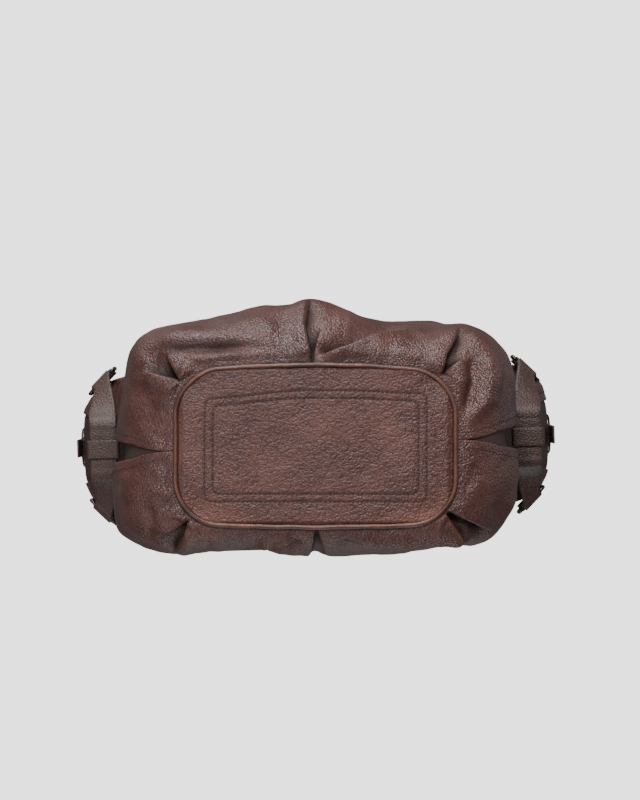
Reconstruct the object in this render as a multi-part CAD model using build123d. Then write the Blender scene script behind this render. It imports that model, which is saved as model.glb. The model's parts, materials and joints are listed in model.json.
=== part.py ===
"""A slouchy pebbled-leather hobo bag, in millimetres.

The bag stands on its base: +Z is up, +X runs along the bag and -Y is its front.
The origin is the middle of the base panel's underside.
"""

import math
import os

from build123d import *

# ---- Driving dimensions ----------------------------------------------------
# Base
BASE_LENGTH = 220.0
BASE_DEPTH = 126.0
BASE_CORNER = 32.0
BASE_LEATHER = 2.0
PIPING_DIAMETER = 3.8
PIPING_LIFT = 0.1  # above the base panel's underside
BOARD_LENGTH = 188.0
BOARD_DEPTH = 96.0
BOARD_THICKNESS = 2.4

# Body: its length, depth, corner radius and forward lean at three heights
BULGE_HEIGHT = 76.0
BULGE_LENGTH = 326.0
BULGE_DEPTH = 210.0
BULGE_CORNER = 78.0
BULGE_FORWARD = 14.0
WAIST_HEIGHT = 128.0
WAIST_LENGTH = 324.0
WAIST_DEPTH = 184.0
WAIST_CORNER = 70.0
WAIST_FORWARD = 9.0
TOP_HEIGHT = 215.0
TOP_LENGTH = 414.0
TOP_DEPTH = 108.0
TOP_CORNER = 34.0
RIM_HEIGHT = 250.0
RIM_DEPTH = 100.0
RIM_CORNER = 36.0
MOUTH_DIP = 205.0  # height of the mouth's edge at the middle of the bag
MOUTH_END = 241.0  # height of the mouth's edge at the bag's ends
TWIST = -1.7  # degrees that the whole bag has settled round on its base

# Layers of the wall, from the outside in
PANEL_LEATHER = 1.8
GUSSET_LEATHER = 1.6
FACING_LEATHER = 1.4
LINING_CLOTH = 0.8
FACING_HEIGHT = 30.0
BINDING_THICKNESS = 2.2
BINDING_LIP = 0.5  # how far the mouth's binding stands out from the wall on both sides
GUSSET_SEAM = 8.0  # how far the gusset runs under the panels' edges
V_AT_BASE = 2.0  # half the width of the gap between the panels, at four heights
V_AT_BULGE = 6.0
V_AT_WAIST = 13.0
V_AT_TOP = 31.0

# Ring hardware at the four corners, with its leather chapes
RING_WIRE = 3.2
RING_INSIDE_LENGTH = 27.0
RING_INSIDE_HEIGHT = 13.0
RING_CORNER = 3.2
RING_BAR_HEIGHT = 174.0  # height of each ring's upper bar
CHAPE_WIDTH = 24.0
CHAPE_LEATHER = 1.7
CHAPE_TOP = 205.0

# Side belts, slung between the rings under a keeper loop
BELT_WIDTH = 24.0
BELT_THICKNESS = 3.4
BELT_HEIGHT = 130.0  # height of the belt's middle line at the keeper
BELT_REACH = 181.0  # distance of the belt's middle line from the bag's centre
BELT_FLAT = 26.0
BELT_LOOP_SINK = 0.4  # how far the sling runs into its loop
BELT_SAG_AT = 0.42  # share of the way from the ring to the middle where it sags most
BELT_SAG = 6.5
BELT_SAG_OUT = 3.0
BELT_TWIST = 1.4  # how far it has turned from the ring's line to the bag's there
BELT_SLOPE = 0.75
KEEPER_WIDTH = 16.0
KEEPER_LEATHER = 1.7

# Shoulder strap, its O-rings and loops
ORING_RADIUS = 16.0
ORING_WIRE = 4.0
ORING_HEIGHT = 267.0
HANDLE_TAB_WIDTH = 16.0
HANDLE_TAB_LEATHER = 1.7
HANDLE_TAB_DROP = 6.0  # how far the tab runs below the height where the rim starts
HANDLE_WIDTH = 30.0
HANDLE_LEATHER = 1.8
HANDLE_FILLER = 4.0
HANDLE_APEX = 476.0
HANDLE_SHOULDER = 396.0
HANDLE_FLAT = 210.0
HANDLE_LOWER_BEND = 115.0
HANDLE_UPPER_BEND = 215.0
STRAP_FOOT = 6.0  # from each O-ring's top up to the strap's end
LOOP_LEAF = 34.0  # how far each loop's leaves run up the strap
SCREW_UP_LEAF = 0.62  # the screw's place as a share of the leaf
ORING_GRIP = 4.0  # how far a leather loop reaches past the wire's middle line
SCREW_RADIUS = 2.0
SCREW_HEAD_RADIUS = 4.6
SCREW_HEAD = 1.6

# Magnetic snap on the mouth facing
SNAP_RADIUS = 9.0
SNAP_THICKNESS = 2.2
SNAP_STUD_RADIUS = 3.0
SNAP_STUD_HEIGHT = 1.8
SNAP_DROP = 15.0  # below the mouth's lowest edge
WASHER_RADIUS = 8.0
WASHER_THICKNESS = 0.8

# Zip pocket on the back lining
ZIP_LENGTH = 160.0
ZIP_TAPE_LENGTH = 172.0
ZIP_TAPE_WIDTH = 18.0
ZIP_TAPE = 0.6
ZIP_HEIGHT = 164.0
TOOTH_PITCH = 3.2
TOOTH_LENGTH = 1.9
TOOTH_WIDTH = 4.6
TOOTH_THICKNESS = 1.3
STOP_LENGTH = 1.6
STOP_WIDTH = 5.6
SLIDER_LENGTH = 9.0
SLIDER_WIDTH = 8.0
SLIDER_ROOF = 1.1
EAR_LENGTH = 3.0
EAR_THICKNESS = 1.0
EAR_HEIGHT = 2.6
EAR_SPREAD = 2.2  # from the slider's middle to the middle of each ear
PIN_RADIUS = 0.6
PIN_LIFT = 1.6  # above the slider's roof
PULLER_EYE_RADIUS = 1.25
PULLER_NECK_LENGTH = 6.0
PULLER_NECK_WIDTH = 3.0
PULLER_GRIP_LENGTH = 19.0
PULLER_GRIP_WIDTH = 6.0
PULLER_THICKNESS = 1.2
POCKET_WIDTH = 176.0
POCKET_DROP = 78.0
POCKET_CLOTH = 1.2

# Fits
GAP = 0.3  # between pieces that lie against each other
WIRE_CLEARANCE = 0.3  # around a ring's wire in its leather loop
SCREW_CLEARANCE = 0.1  # around a screw post in its holes
PIN_CLEARANCE = 0.1  # around the zip slider's pin
TOOTH_SEAT = 0.1  # under the zip's teeth

# ---- Derived sizes ---------------------------------------------------------
PIPING_RADIUS = PIPING_DIAMETER / 2
PIPING_CENTRE = PIPING_RADIUS + PIPING_LIFT
BODY_BOTTOM = PIPING_CENTRE + PIPING_RADIUS + GAP
GUSSET_INSET = PANEL_LEATHER + GAP
FACING_INSET = GUSSET_INSET + GUSSET_LEATHER + GAP
CHAPE_THICKNESS = 2 * CHAPE_LEATHER
RING_RADIUS = RING_WIRE / 2
RING_BAR_SPACING = RING_INSIDE_HEIGHT + RING_WIRE
HANDLE_THICKNESS = 2 * HANDLE_LEATHER + HANDLE_FILLER + 2 * GAP
BEYOND = 2 * TOP_LENGTH  # a size that runs past the whole body
LEFT, RIGHT, FRONT, BACK = -1, 1, -1, 1


def between(low, high, share):
    """The value that lies a share of the way from low to high."""
    return low + (high - low) * share


def stations():
    """The body's sections as (height, half length, half depth, corner, y of centre)."""
    base = (
        BODY_BOTTOM,
        BASE_LENGTH / 2 + PIPING_DIAMETER,
        BASE_DEPTH / 2 + PIPING_DIAMETER,
        BASE_CORNER + PIPING_DIAMETER,
        0.0,
    )
    bulge = (BULGE_HEIGHT, BULGE_LENGTH / 2, BULGE_DEPTH / 2, BULGE_CORNER, -BULGE_FORWARD)
    waist = (WAIST_HEIGHT, WAIST_LENGTH / 2, WAIST_DEPTH / 2, WAIST_CORNER, -WAIST_FORWARD)
    top = (TOP_HEIGHT, TOP_LENGTH / 2, TOP_DEPTH / 2, TOP_CORNER, 0.0)
    rim = (RIM_HEIGHT, TOP_LENGTH / 2, RIM_DEPTH / 2, RIM_CORNER, 0.0)
    # Each pair gives the share of the height and the share of the swell there.
    swell = [(0.22, 0.55), (0.58, 0.88)]
    flare = [(0.30, 0.20), (0.68, 0.66)]
    rows = [base]
    for up, out in swell:
        rows.append(mixed(base, bulge, up, out))
    rows += [bulge, waist]
    for up, out in flare:
        rows.append(mixed(waist, top, up, out))
    return rows + [top, rim]


def mixed(low, high, up, out):
    """A section between two others, at one share of the height and another of the sizes."""
    return (between(low[0], high[0], up), *(between(a, b, out) for a, b in zip(low[1:], high[1:])))


def section_at(height):
    """The body's section at any height: half length, half depth, corner, y of centre."""
    rows = stations()
    for low, high in zip(rows, rows[1:]):
        if height <= high[0]:
            share = (height - low[0]) / (high[0] - low[0])
            return tuple(between(a, b, share) for a, b in zip(low[1:], high[1:]))
    return rows[-1][1:]


def body_loft(inset):
    """The solid inside the bag's outline, taken in by inset all round."""
    faces = []
    for height, half_length, half_depth, corner, centre in stations():
        outline = RectangleRounded(
            2 * (half_length - inset), 2 * (half_depth - inset), corner - inset
        )
        faces.append(Pos(0, centre, height) * outline)
    return loft(faces, ruled=True)


def above(height):
    """Everything above a height."""
    return Pos(0, 0, height + BEYOND / 2) * Box(BEYOND, BEYOND, BEYOND)


def mouth_cut(raised=0.0):
    """Everything above the mouth's curved edge, raised or lowered by an amount."""
    rise = MOUTH_END - MOUTH_DIP
    half = TOP_LENGTH / 2
    radius = (half**2 + rise**2) / (2 * rise)
    return Pos(0, 0, MOUTH_DIP + raised + radius) * Rot(90, 0, 0) * Cylinder(radius, BEYOND)


def wall(inset, thickness):
    """A shell of the body's outline, between two insets, with its bottom open."""
    return body_loft(inset) - body_loft(inset + thickness)


def gusset_wedge(widened=0.0):
    """The tall V at both ends of the bag that the gussets show through."""
    outline = [
        (V_AT_BASE, 0),
        (V_AT_BULGE, BULGE_HEIGHT),
        (V_AT_WAIST, WAIST_HEIGHT),
        (V_AT_TOP, TOP_HEIGHT),
        (V_AT_TOP, RIM_HEIGHT),
    ]
    right = [(y + widened, z) for y, z in outline]
    left = [(-y, z) for y, z in reversed(right)]
    face = Plane.YZ * make_face(Polyline(*right, *left, close=True))
    inner = BASE_LENGTH / 2 - BASE_CORNER
    both = extrude(face, BEYOND, both=True)
    return both - Box(2 * inner, BEYOND, 2 * BEYOND)


def solids_of(shape, keep):
    """The solids of a shape that a test accepts, as one compound or solid."""
    kept = [s for s in shape.solids() if keep(s.center(CenterOf.BOUNDING_BOX))]
    return kept[0] if len(kept) == 1 else Compound(children=kept)


# ---- Base ------------------------------------------------------------------
def base_parts():
    """The base panel, its piping and the board inside."""
    panel = extrude(RectangleRounded(BASE_LENGTH, BASE_DEPTH, BASE_CORNER), BASE_LEATHER)
    out = PIPING_RADIUS + GAP / 2
    path = Pos(0, 0, PIPING_CENTRE) * RectangleRounded(
        BASE_LENGTH + 2 * out, BASE_DEPTH + 2 * out, BASE_CORNER + out
    )
    wire = path.wires()[0]
    start = Plane(origin=wire @ 0, z_dir=wire % 0)
    piping = sweep(start * Circle(PIPING_RADIUS), path=wire)
    board = Pos(0, 0, BASE_LEATHER + GAP) * extrude(
        RectangleRounded(BOARD_LENGTH, BOARD_DEPTH, BASE_CORNER / 2), BOARD_THICKNESS
    )
    return {"base_panel": panel, "base_piping": piping, "base_board": board}


# ---- Body ------------------------------------------------------------------
def body_parts():
    """The front and back panels, the gussets, and what lies inside them."""
    shell = wall(0, PANEL_LEATHER) - mouth_cut() - gusset_wedge()
    gussets = (wall(GUSSET_INSET, GUSSET_LEATHER) - mouth_cut()) & gusset_wedge(GUSSET_SEAM)
    facing = wall(FACING_INSET, FACING_LEATHER) - mouth_cut()
    facing = facing & mouth_cut(-FACING_HEIGHT)
    binding = wall(-BINDING_LIP, FACING_INSET + FACING_LEATHER + 2 * BINDING_LIP)
    binding = (binding - mouth_cut(GAP + BINDING_THICKNESS)) & mouth_cut(GAP)
    floor = BASE_LEATHER + GAP + BOARD_THICKNESS + GAP
    outside = body_loft(FACING_INSET) & above(floor)
    inside = body_loft(FACING_INSET + LINING_CLOTH) & above(floor + LINING_CLOTH)
    lining = outside - inside - mouth_cut(-FACING_HEIGHT - GAP)
    pocket = wall(PANEL_LEATHER + (FACING_INSET - PANEL_LEATHER - POCKET_CLOTH) / 2, POCKET_CLOTH)
    pocket = pocket & Pos(0, BEYOND / 2, ZIP_HEIGHT - POCKET_DROP / 2) * Box(
        POCKET_WIDTH, BEYOND, POCKET_DROP
    )
    return {
        "front_panel": solids_of(shell, lambda c: c.Y < 0),
        "back_panel": solids_of(shell, lambda c: c.Y > 0),
        "left_gusset": solids_of(gussets, lambda c: c.X < 0),
        "right_gusset": solids_of(gussets, lambda c: c.X > 0),
        "mouth_facing": facing,
        "mouth_binding": binding,
        "lining": lining,
        "zip_pocket_bag": pocket,
    }


# ---- Corner rings, chapes and side belts -----------------------------------
def corner_reach(height, side):
    """How far the body reaches, at a height, towards a corner at 45 degrees."""
    half_length, half_depth, corner, centre = section_at(height)
    return (half_length + half_depth - 2 * corner + side * centre) / math.sqrt(2) + corner


def ring_place(end, side):
    """The plane of a corner ring: x along its bars, y up, z away from the bag.

    Its origin is the middle of the upper bar, which hangs below the chape that is
    sewn to the body where the corner reaches furthest out.
    """
    out = Vector(end, side, 0).normalized()
    along = Vector(0, 0, 1).cross(out)
    reach = max(corner_reach(height, side) for height in (RING_BAR_HEIGHT, CHAPE_TOP))
    half_length, half_depth, corner, centre = section_at((RING_BAR_HEIGHT + CHAPE_TOP) / 2)
    arc_centre = Vector(end * (half_length - corner), centre + side * (half_depth - corner), 0)
    place = out * (reach + GAP + CHAPE_THICKNESS / 2) + along * arc_centre.dot(along)
    return Plane(origin=place + Vector(0, 0, RING_BAR_HEIGHT), x_dir=along, z_dir=out)


def ring_solid(place):
    """One rectangular ring of round wire, hanging from its upper bar."""
    path = Pos(0, -RING_BAR_SPACING / 2, 0) * RectangleRounded(
        RING_INSIDE_LENGTH + RING_WIRE, RING_BAR_SPACING, RING_CORNER
    )
    wire = (place * path).wires()[0]
    start = Plane(origin=wire @ 0, z_dir=wire % 0)
    return sweep(start * Circle(RING_RADIUS), path=wire)


def chape_solid(place):
    """The folded leather tab that holds a ring's upper bar."""
    hole = RING_RADIUS + WIRE_CLEARANCE
    outer = hole + CHAPE_LEATHER
    half = CHAPE_THICKNESS / 2
    neck = 2 * outer
    top = CHAPE_TOP - RING_BAR_HEIGHT
    # The profile is drawn across the bar, with x away from the bag and y up.
    right = [(outer, 0), (half, neck), (half, top)]
    left = [(-x, y) for x, y in reversed(right)]
    profile = make_face(Polyline(*right, *left, close=True)) + Circle(outer) - Circle(hole)
    across = Plane(origin=place.origin, x_dir=place.z_dir, z_dir=place.x_dir * -1)
    return extrude(across * profile, CHAPE_WIDTH / 2, both=True)


def belt_middle(end):
    """The plane across a side belt at its middle, where the keeper is."""
    return Plane(origin=(end * BELT_REACH, 0, BELT_HEIGHT), x_dir=(1, 0, 0), z_dir=(0, 1, 0))


def belt_solid(end):
    """One side belt: a loop on each ring's lower bar, and the sling between them."""
    hole = RING_RADIUS + WIRE_CLEARANCE
    outer = hole + BELT_THICKNESS / 2
    strip = Rectangle(BELT_WIDTH, BELT_THICKNESS)
    middle = belt_middle(end)
    belt = extrude(middle * strip, BELT_FLAT / 2, both=True)
    for side in (FRONT, BACK):
        place = ring_place(end, side)
        bar = place.origin - Vector(0, 0, RING_BAR_SPACING)
        across = place.x_dir if place.x_dir.X > 0 else place.x_dir * -1
        loop = Plane(origin=bar, z_dir=across)
        belt += extrude(loop * (Circle(outer) - Circle(hole)), BELT_WIDTH / 2, both=True)
        neck = Plane(
            origin=bar - Vector(0, 0, outer - BELT_LOOP_SINK),
            x_dir=across,
            z_dir=(0, 0, -1),
        )
        sag = Plane(
            origin=bar * (1 - BELT_SAG_AT) + middle.origin * BELT_SAG_AT
            + Vector(0, side * BELT_SAG_OUT, -BELT_SAG),
            x_dir=(across + Vector(BELT_TWIST, 0, 0)).normalized(),
            z_dir=Vector(0, -side, -BELT_SLOPE).normalized(),
        )
        flat = Plane(
            origin=middle.origin + Vector(0, side * BELT_FLAT / 2, 0),
            x_dir=(1, 0, 0),
            z_dir=(0, -side, 0),
        )
        belt += loft([plane * strip for plane in (neck, sag, flat)])
    return belt


def keeper_solid(end):
    """The leather band round the middle of a side belt."""
    inside_width = BELT_WIDTH + 2 * GAP
    inside_height = BELT_THICKNESS + 2 * GAP
    band = Rectangle(inside_width + 2 * KEEPER_LEATHER, inside_height + 2 * KEEPER_LEATHER)
    band -= Rectangle(inside_width, inside_height)
    return extrude(belt_middle(end) * band, KEEPER_WIDTH / 2, both=True)


def side_parts():
    """The four corner rings with their chapes, and the belts and keepers."""
    parts = {}
    for end_name, end in (("left", LEFT), ("right", RIGHT)):
        for side_name, side in (("front", FRONT), ("back", BACK)):
            place = ring_place(end, side)
            parts[f"{side_name}_{end_name}_ring"] = ring_solid(place)
            parts[f"{side_name}_{end_name}_chape"] = chape_solid(place)
        parts[f"{end_name}_belt"] = belt_solid(end)
        parts[f"{end_name}_keeper"] = keeper_solid(end)
    return parts


# ---- Shoulder strap --------------------------------------------------------
def handle_line():
    """How far the strap's ends and O-rings stand from the bag's centre."""
    return TOP_LENGTH / 2 + BINDING_LIP + GAP + HANDLE_TAB_LEATHER


def oring_torus(end, extra=0.0):
    """An O-ring, or the space round it, with its axis along the bag."""
    centre = Pos(end * handle_line(), 0, ORING_HEIGHT)
    return centre * Rot(0, 90, 0) * Torus(ORING_RADIUS, ORING_WIRE / 2 + extra)


def handle_chape(end):
    """The tab on the end of the bag that holds an O-ring's lower arc."""
    half = HANDLE_TAB_LEATHER
    low = ORING_HEIGHT - ORING_RADIUS - ORING_WIRE / 2
    bottom = TOP_HEIGHT - HANDLE_TAB_DROP
    leaf = Pos(0, 0, (bottom + low) / 2) * Box(2 * half, HANDLE_TAB_WIDTH, low - bottom)
    # Below the mouth's binding the tab reaches back to the gusset that it is sewn to.
    depth = half + handle_line() - TOP_LENGTH / 2 + GUSSET_INSET - GAP
    seat_top = MOUTH_END - GAP - BINDING_THICKNESS
    leaf += Pos(end * (half - depth / 2), 0, (bottom + seat_top) / 2) * Box(
        depth, HANDLE_TAB_WIDTH, seat_top - bottom
    )
    head_low = MOUTH_END + 2 * BINDING_THICKNESS
    head_top = low + ORING_WIRE / 2 + ORING_GRIP
    head = Pos(0, 0, (head_low + head_top) / 2) * Box(
        ORING_WIRE + 2 * (WIRE_CLEARANCE + HANDLE_TAB_LEATHER) - GAP, HANDLE_TAB_WIDTH,
        head_top - head_low,
    )
    head = fillet(head.edges().filter_by(Axis.Y), HANDLE_TAB_LEATHER)
    tab = Pos(end * handle_line(), 0, 0) * (leaf + head)
    return tab - oring_torus(end, WIRE_CLEARANCE)


def strap_foot():
    """The height of the strap's two ends."""
    return ORING_HEIGHT + ORING_RADIUS + ORING_WIRE / 2 + STRAP_FOOT


def handle_path(offset):
    """The strap's arch, moved out from its middle line by an offset."""
    foot = strap_foot()
    reach = handle_line()
    slope = math.atan2(HANDLE_APEX - HANDLE_SHOULDER, reach - HANDLE_FLAT / 2)
    side_shift = offset * math.tan((math.pi / 2 - slope) / 2)
    top_shift = offset * math.tan(slope / 2)
    points = [
        (-reach - offset, foot),
        (-reach - offset, HANDLE_SHOULDER + side_shift),
        (-HANDLE_FLAT / 2 - top_shift, HANDLE_APEX + offset),
    ]
    points += [(-x, z) for x, z in reversed(points)]
    radii = [HANDLE_LOWER_BEND + offset, HANDLE_UPPER_BEND + offset]
    return FilletPolyline(*points, radius=[*radii, *reversed(radii)])


def handle_layer(low, high, width):
    """One layer of the strap, between two offsets from its middle line."""
    inner, outer = handle_path(low), handle_path(high)
    ends = [Line(inner @ 0, outer @ 0), Line(inner @ 1, outer @ 1)]
    face = make_face([*inner.edges(), *outer.edges(), *ends])
    layer = extrude(Plane.XZ * face, width / 2, both=True)
    return layer - screw_holes()


def screw_height():
    """The height of the screw that closes each loop on the strap."""
    return strap_foot() + LOOP_LEAF * SCREW_UP_LEAF


def screw_holes():
    """The holes through the strap and its loops for the screws."""
    hole = Rot(0, 90, 0) * Cylinder(SCREW_RADIUS + SCREW_CLEARANCE, 4 * HANDLE_THICKNESS)
    holes = [Pos(end * handle_line(), 0, screw_height()) * hole for end in (LEFT, RIGHT)]
    return holes[0] + holes[1]


def loop_inside():
    """The space between a loop's two leaves, which hold the strap."""
    return HANDLE_THICKNESS + 2 * GAP


def handle_loop(end):
    """The leather loop that joins the strap to an O-ring's upper arc."""
    foot = strap_foot()
    outside = loop_inside() + 2 * HANDLE_TAB_LEATHER
    head_low = ORING_HEIGHT + ORING_RADIUS - ORING_GRIP
    head_top = foot - GAP
    head = Pos(0, 0, (head_low + head_top) / 2) * Box(
        outside, HANDLE_TAB_WIDTH, head_top - head_low
    )
    head = fillet(head.edges().filter_by(Axis.Y).group_by(Axis.Z)[0], 2 * HANDLE_TAB_LEATHER)
    leaves = Pos(0, 0, head_top + LOOP_LEAF / 2) * (
        Box(outside, HANDLE_TAB_WIDTH, LOOP_LEAF)
        - Box(loop_inside(), 2 * HANDLE_TAB_WIDTH, LOOP_LEAF)
    )
    loop = Pos(end * handle_line(), 0, 0) * (head + leaves)
    return loop - oring_torus(end, WIRE_CLEARANCE) - screw_holes()


def handle_screws():
    """Two screw posts with flat heads, one through each loop."""
    outside = loop_inside() + 2 * HANDLE_TAB_LEATHER
    post = Rot(0, 90, 0) * Cylinder(SCREW_RADIUS, outside + 2 * GAP)
    away = outside / 2 + GAP + SCREW_HEAD / 2
    heads = [Pos(x, 0, 0) * Rot(0, 90, 0) * Cylinder(SCREW_HEAD_RADIUS, SCREW_HEAD)
             for x in (-away, away)]
    screw = post + heads[0] + heads[1]
    screws = [Pos(end * handle_line(), 0, screw_height()) * screw for end in (LEFT, RIGHT)]
    return Compound(children=screws)


def handle_parts():
    """The shoulder strap's three layers, its loops, O-rings and tabs."""
    filler = HANDLE_FILLER / 2
    skin = filler + GAP
    parts = {
        "handle_filler": handle_layer(-filler, filler, HANDLE_WIDTH - 4.0),
        "handle_outer": handle_layer(skin, skin + HANDLE_LEATHER, HANDLE_WIDTH),
        "handle_backing": handle_layer(-skin - HANDLE_LEATHER, -skin, HANDLE_WIDTH),
        "handle_screws": handle_screws(),
    }
    for name, end in (("left", LEFT), ("right", RIGHT)):
        parts[f"{name}_handle_ring"] = oring_torus(end)
        parts[f"{name}_handle_chape"] = handle_chape(end)
        parts[f"{name}_handle_loop"] = handle_loop(end)
    return parts


# ---- Closure and pocket ----------------------------------------------------
def wall_plane(height, side, inset):
    """A plane on the flat of the front or back wall: x along the bag, z to the inside."""
    step = 1.0
    low, high = (section_at(h) for h in (height - step, height + step))
    ys = [centre + side * (half_depth - inset) for _, half_depth, _, centre in (low, high)]
    up = Vector(0, ys[1] - ys[0], 2 * step).normalized()
    inward = Vector(0, -side, 0)
    normal = (inward - up * inward.dot(up)).normalized()
    x_dir = up.cross(normal)
    return Plane(origin=(0, (ys[0] + ys[1]) / 2, height), x_dir=x_dir, z_dir=normal)


def snap_parts():
    """The magnetic snap's two halves and the washers behind the facing."""
    height = MOUTH_DIP - SNAP_DROP
    front, back = (
        wall_plane(height, side, FACING_INSET + FACING_LEATHER).offset(GAP)
        for side in (FRONT, BACK)
    )
    stud = extrude(front * Circle(SNAP_RADIUS), SNAP_THICKNESS)
    stud += extrude(front.offset(SNAP_THICKNESS) * Circle(SNAP_STUD_RADIUS), SNAP_STUD_HEIGHT)
    socket = extrude(back * Circle(SNAP_RADIUS), SNAP_THICKNESS)
    dimple = back.offset(SNAP_THICKNESS - SNAP_STUD_HEIGHT) * Circle(SNAP_STUD_RADIUS + GAP)
    socket -= extrude(dimple, SNAP_STUD_HEIGHT)
    between_layers = (FACING_INSET - PANEL_LEATHER - WASHER_THICKNESS) / 2
    washers = [
        extrude(
            wall_plane(height, side, PANEL_LEATHER).offset(between_layers) * Circle(WASHER_RADIUS),
            WASHER_THICKNESS,
        )
        for side in (FRONT, BACK)
    ]
    return {
        "snap_stud": stud,
        "snap_socket": socket,
        "snap_washers": Compound(children=washers),
    }


def zip_place():
    """The plane of the zip tape's back: x along the zip, z into the bag."""
    return wall_plane(ZIP_HEIGHT, BACK, FACING_INSET + LINING_CLOTH).offset(GAP)


def last_tooth():
    """How far the last tooth is from the zip's middle."""
    return (int(ZIP_LENGTH // TOOTH_PITCH) - 1) * TOOTH_PITCH / 2


def slider_roof():
    """How high the underside of the slider's roof is above the tape's back."""
    return ZIP_TAPE + TOOTH_SEAT + TOOTH_THICKNESS + GAP


def slider_solid():
    """The zip's slider over the teeth, with two ears and a pin for the puller."""
    roof = slider_roof() + SLIDER_ROOF
    slider = Pos(0, 0, roof - SLIDER_ROOF / 2) * Box(SLIDER_LENGTH, SLIDER_WIDTH, SLIDER_ROOF)
    wing_bottom = ZIP_TAPE + GAP
    wing_width = (SLIDER_WIDTH - TOOTH_WIDTH) / 2 - GAP
    wing = Box(SLIDER_LENGTH, wing_width, roof - wing_bottom)
    ear = Box(EAR_LENGTH, EAR_THICKNESS, EAR_HEIGHT)
    for side in (-1, 1):
        wing_y = side * (SLIDER_WIDTH - wing_width) / 2
        slider += Pos(0, wing_y, (roof + wing_bottom) / 2) * wing
        slider += Pos(0, side * EAR_SPREAD, roof + EAR_HEIGHT / 2) * ear
    pin = Rot(90, 0, 0) * Cylinder(PIN_RADIUS, 2 * EAR_SPREAD)
    return slider + Pos(0, 0, roof + PIN_LIFT) * pin


def puller_solid():
    """The zip's puller, lying along the teeth, with its eye round the origin."""
    hole = Rot(90, 0, 0) * Cylinder(PIN_RADIUS + PIN_CLEARANCE, PULLER_GRIP_WIDTH)
    puller = Rot(90, 0, 0) * Cylinder(PULLER_EYE_RADIUS, PULLER_NECK_WIDTH)
    puller += Pos(-PULLER_NECK_LENGTH / 2, 0, 0) * Box(
        PULLER_NECK_LENGTH, PULLER_NECK_WIDTH, PULLER_THICKNESS
    )
    puller += Pos(-PULLER_NECK_LENGTH - PULLER_GRIP_LENGTH / 2, 0, 0) * Box(
        PULLER_GRIP_LENGTH, PULLER_GRIP_WIDTH, PULLER_THICKNESS
    )
    return puller - hole


def zip_parts():
    """The pocket's zip: tape, teeth, end stops, slider and puller."""
    place = zip_place()
    last = last_tooth()
    level = ZIP_TAPE + TOOTH_SEAT + TOOTH_THICKNESS / 2
    tooth = Box(TOOTH_LENGTH, TOOTH_WIDTH, TOOTH_THICKNESS)
    stop = Box(STOP_LENGTH, STOP_WIDTH, TOOTH_THICKNESS)
    count = int(ZIP_LENGTH // TOOTH_PITCH)
    teeth = [place * Pos(i * TOOTH_PITCH - last, 0, level) * tooth for i in range(count)]
    stops = [place * Pos(side * (last + TOOTH_PITCH), 0, level) * stop for side in (-1, 1)]
    start = last - SLIDER_LENGTH / 2
    pin = slider_roof() + SLIDER_ROOF + PIN_LIFT
    return {
        "zip_tape": place * extrude(Rectangle(ZIP_TAPE_LENGTH, ZIP_TAPE_WIDTH), ZIP_TAPE),
        "zip_teeth": Compound(children=teeth),
        "zip_stops": Compound(children=stops),
        "zip_slider": place * Pos(start, 0, 0) * slider_solid(),
        "zip_puller": place * Pos(start, 0, pin) * puller_solid(),
    }


def settled(shape):
    """A sub-part turned with the bag as it has settled round on its base."""
    turned = [Rot(0, 0, TWIST) * solid for solid in shape.solids()]
    return turned[0] if len(turned) == 1 else Compound(children=turned)


def main():
    """Builds every sub-part and writes each as its own STEP file."""
    os.makedirs("parts", exist_ok=True)
    above_base = {
        **body_parts(),
        **side_parts(),
        **handle_parts(),
        **snap_parts(),
        **zip_parts(),
    }
    turned = {name: settled(shape) for name, shape in above_base.items()}
    for name, shape in {**base_parts(), **turned}.items():
        export_step(shape, f"parts/{name}.step")


main()
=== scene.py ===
"""Dresses the hobo bag: pleated pebbled leather, belts, strap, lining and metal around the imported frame."""

import json
import logging
import math
from dataclasses import dataclass
from enum import Enum

import bpy
import numpy as np
from mathutils import Matrix, Vector


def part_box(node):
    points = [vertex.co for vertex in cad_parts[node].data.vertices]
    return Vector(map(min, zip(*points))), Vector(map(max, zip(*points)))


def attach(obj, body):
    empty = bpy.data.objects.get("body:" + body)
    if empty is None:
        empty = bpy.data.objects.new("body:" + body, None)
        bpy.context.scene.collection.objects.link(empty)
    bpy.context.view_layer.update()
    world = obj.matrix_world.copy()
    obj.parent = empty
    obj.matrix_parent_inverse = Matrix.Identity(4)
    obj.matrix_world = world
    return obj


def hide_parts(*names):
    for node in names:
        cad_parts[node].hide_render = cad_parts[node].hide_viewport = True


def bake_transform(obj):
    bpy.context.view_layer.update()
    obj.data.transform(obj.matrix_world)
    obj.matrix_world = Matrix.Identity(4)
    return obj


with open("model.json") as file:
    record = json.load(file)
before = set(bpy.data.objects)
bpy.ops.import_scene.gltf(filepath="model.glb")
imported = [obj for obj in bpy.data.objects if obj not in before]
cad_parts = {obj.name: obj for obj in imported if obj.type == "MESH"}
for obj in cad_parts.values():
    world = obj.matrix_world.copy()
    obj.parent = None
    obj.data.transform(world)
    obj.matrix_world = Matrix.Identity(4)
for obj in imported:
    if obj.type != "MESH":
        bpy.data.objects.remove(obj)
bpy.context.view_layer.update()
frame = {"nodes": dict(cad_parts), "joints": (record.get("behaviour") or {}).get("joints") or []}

LOG = logging.getLogger("hobo_bag")
MM = 0.001
BAG = "bag"
# The whole bag has settled round on its base by this angle.
TWIST = math.atan2(frame["joints"][0]["axis"][1], frame["joints"][0]["axis"][0])


# ---- Small tools -----------------------------------------------------------
def smoothstep(value: np.ndarray) -> np.ndarray:
    """Eases a value from 0 to 1 with level ends."""
    t = np.clip(value, 0.0, 1.0)
    return t * t * (3 - 2 * t)


def lerp(low: np.ndarray, high: np.ndarray, share: np.ndarray) -> np.ndarray:
    """The value a share of the way from low to high."""
    return low + (high - low) * share


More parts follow.
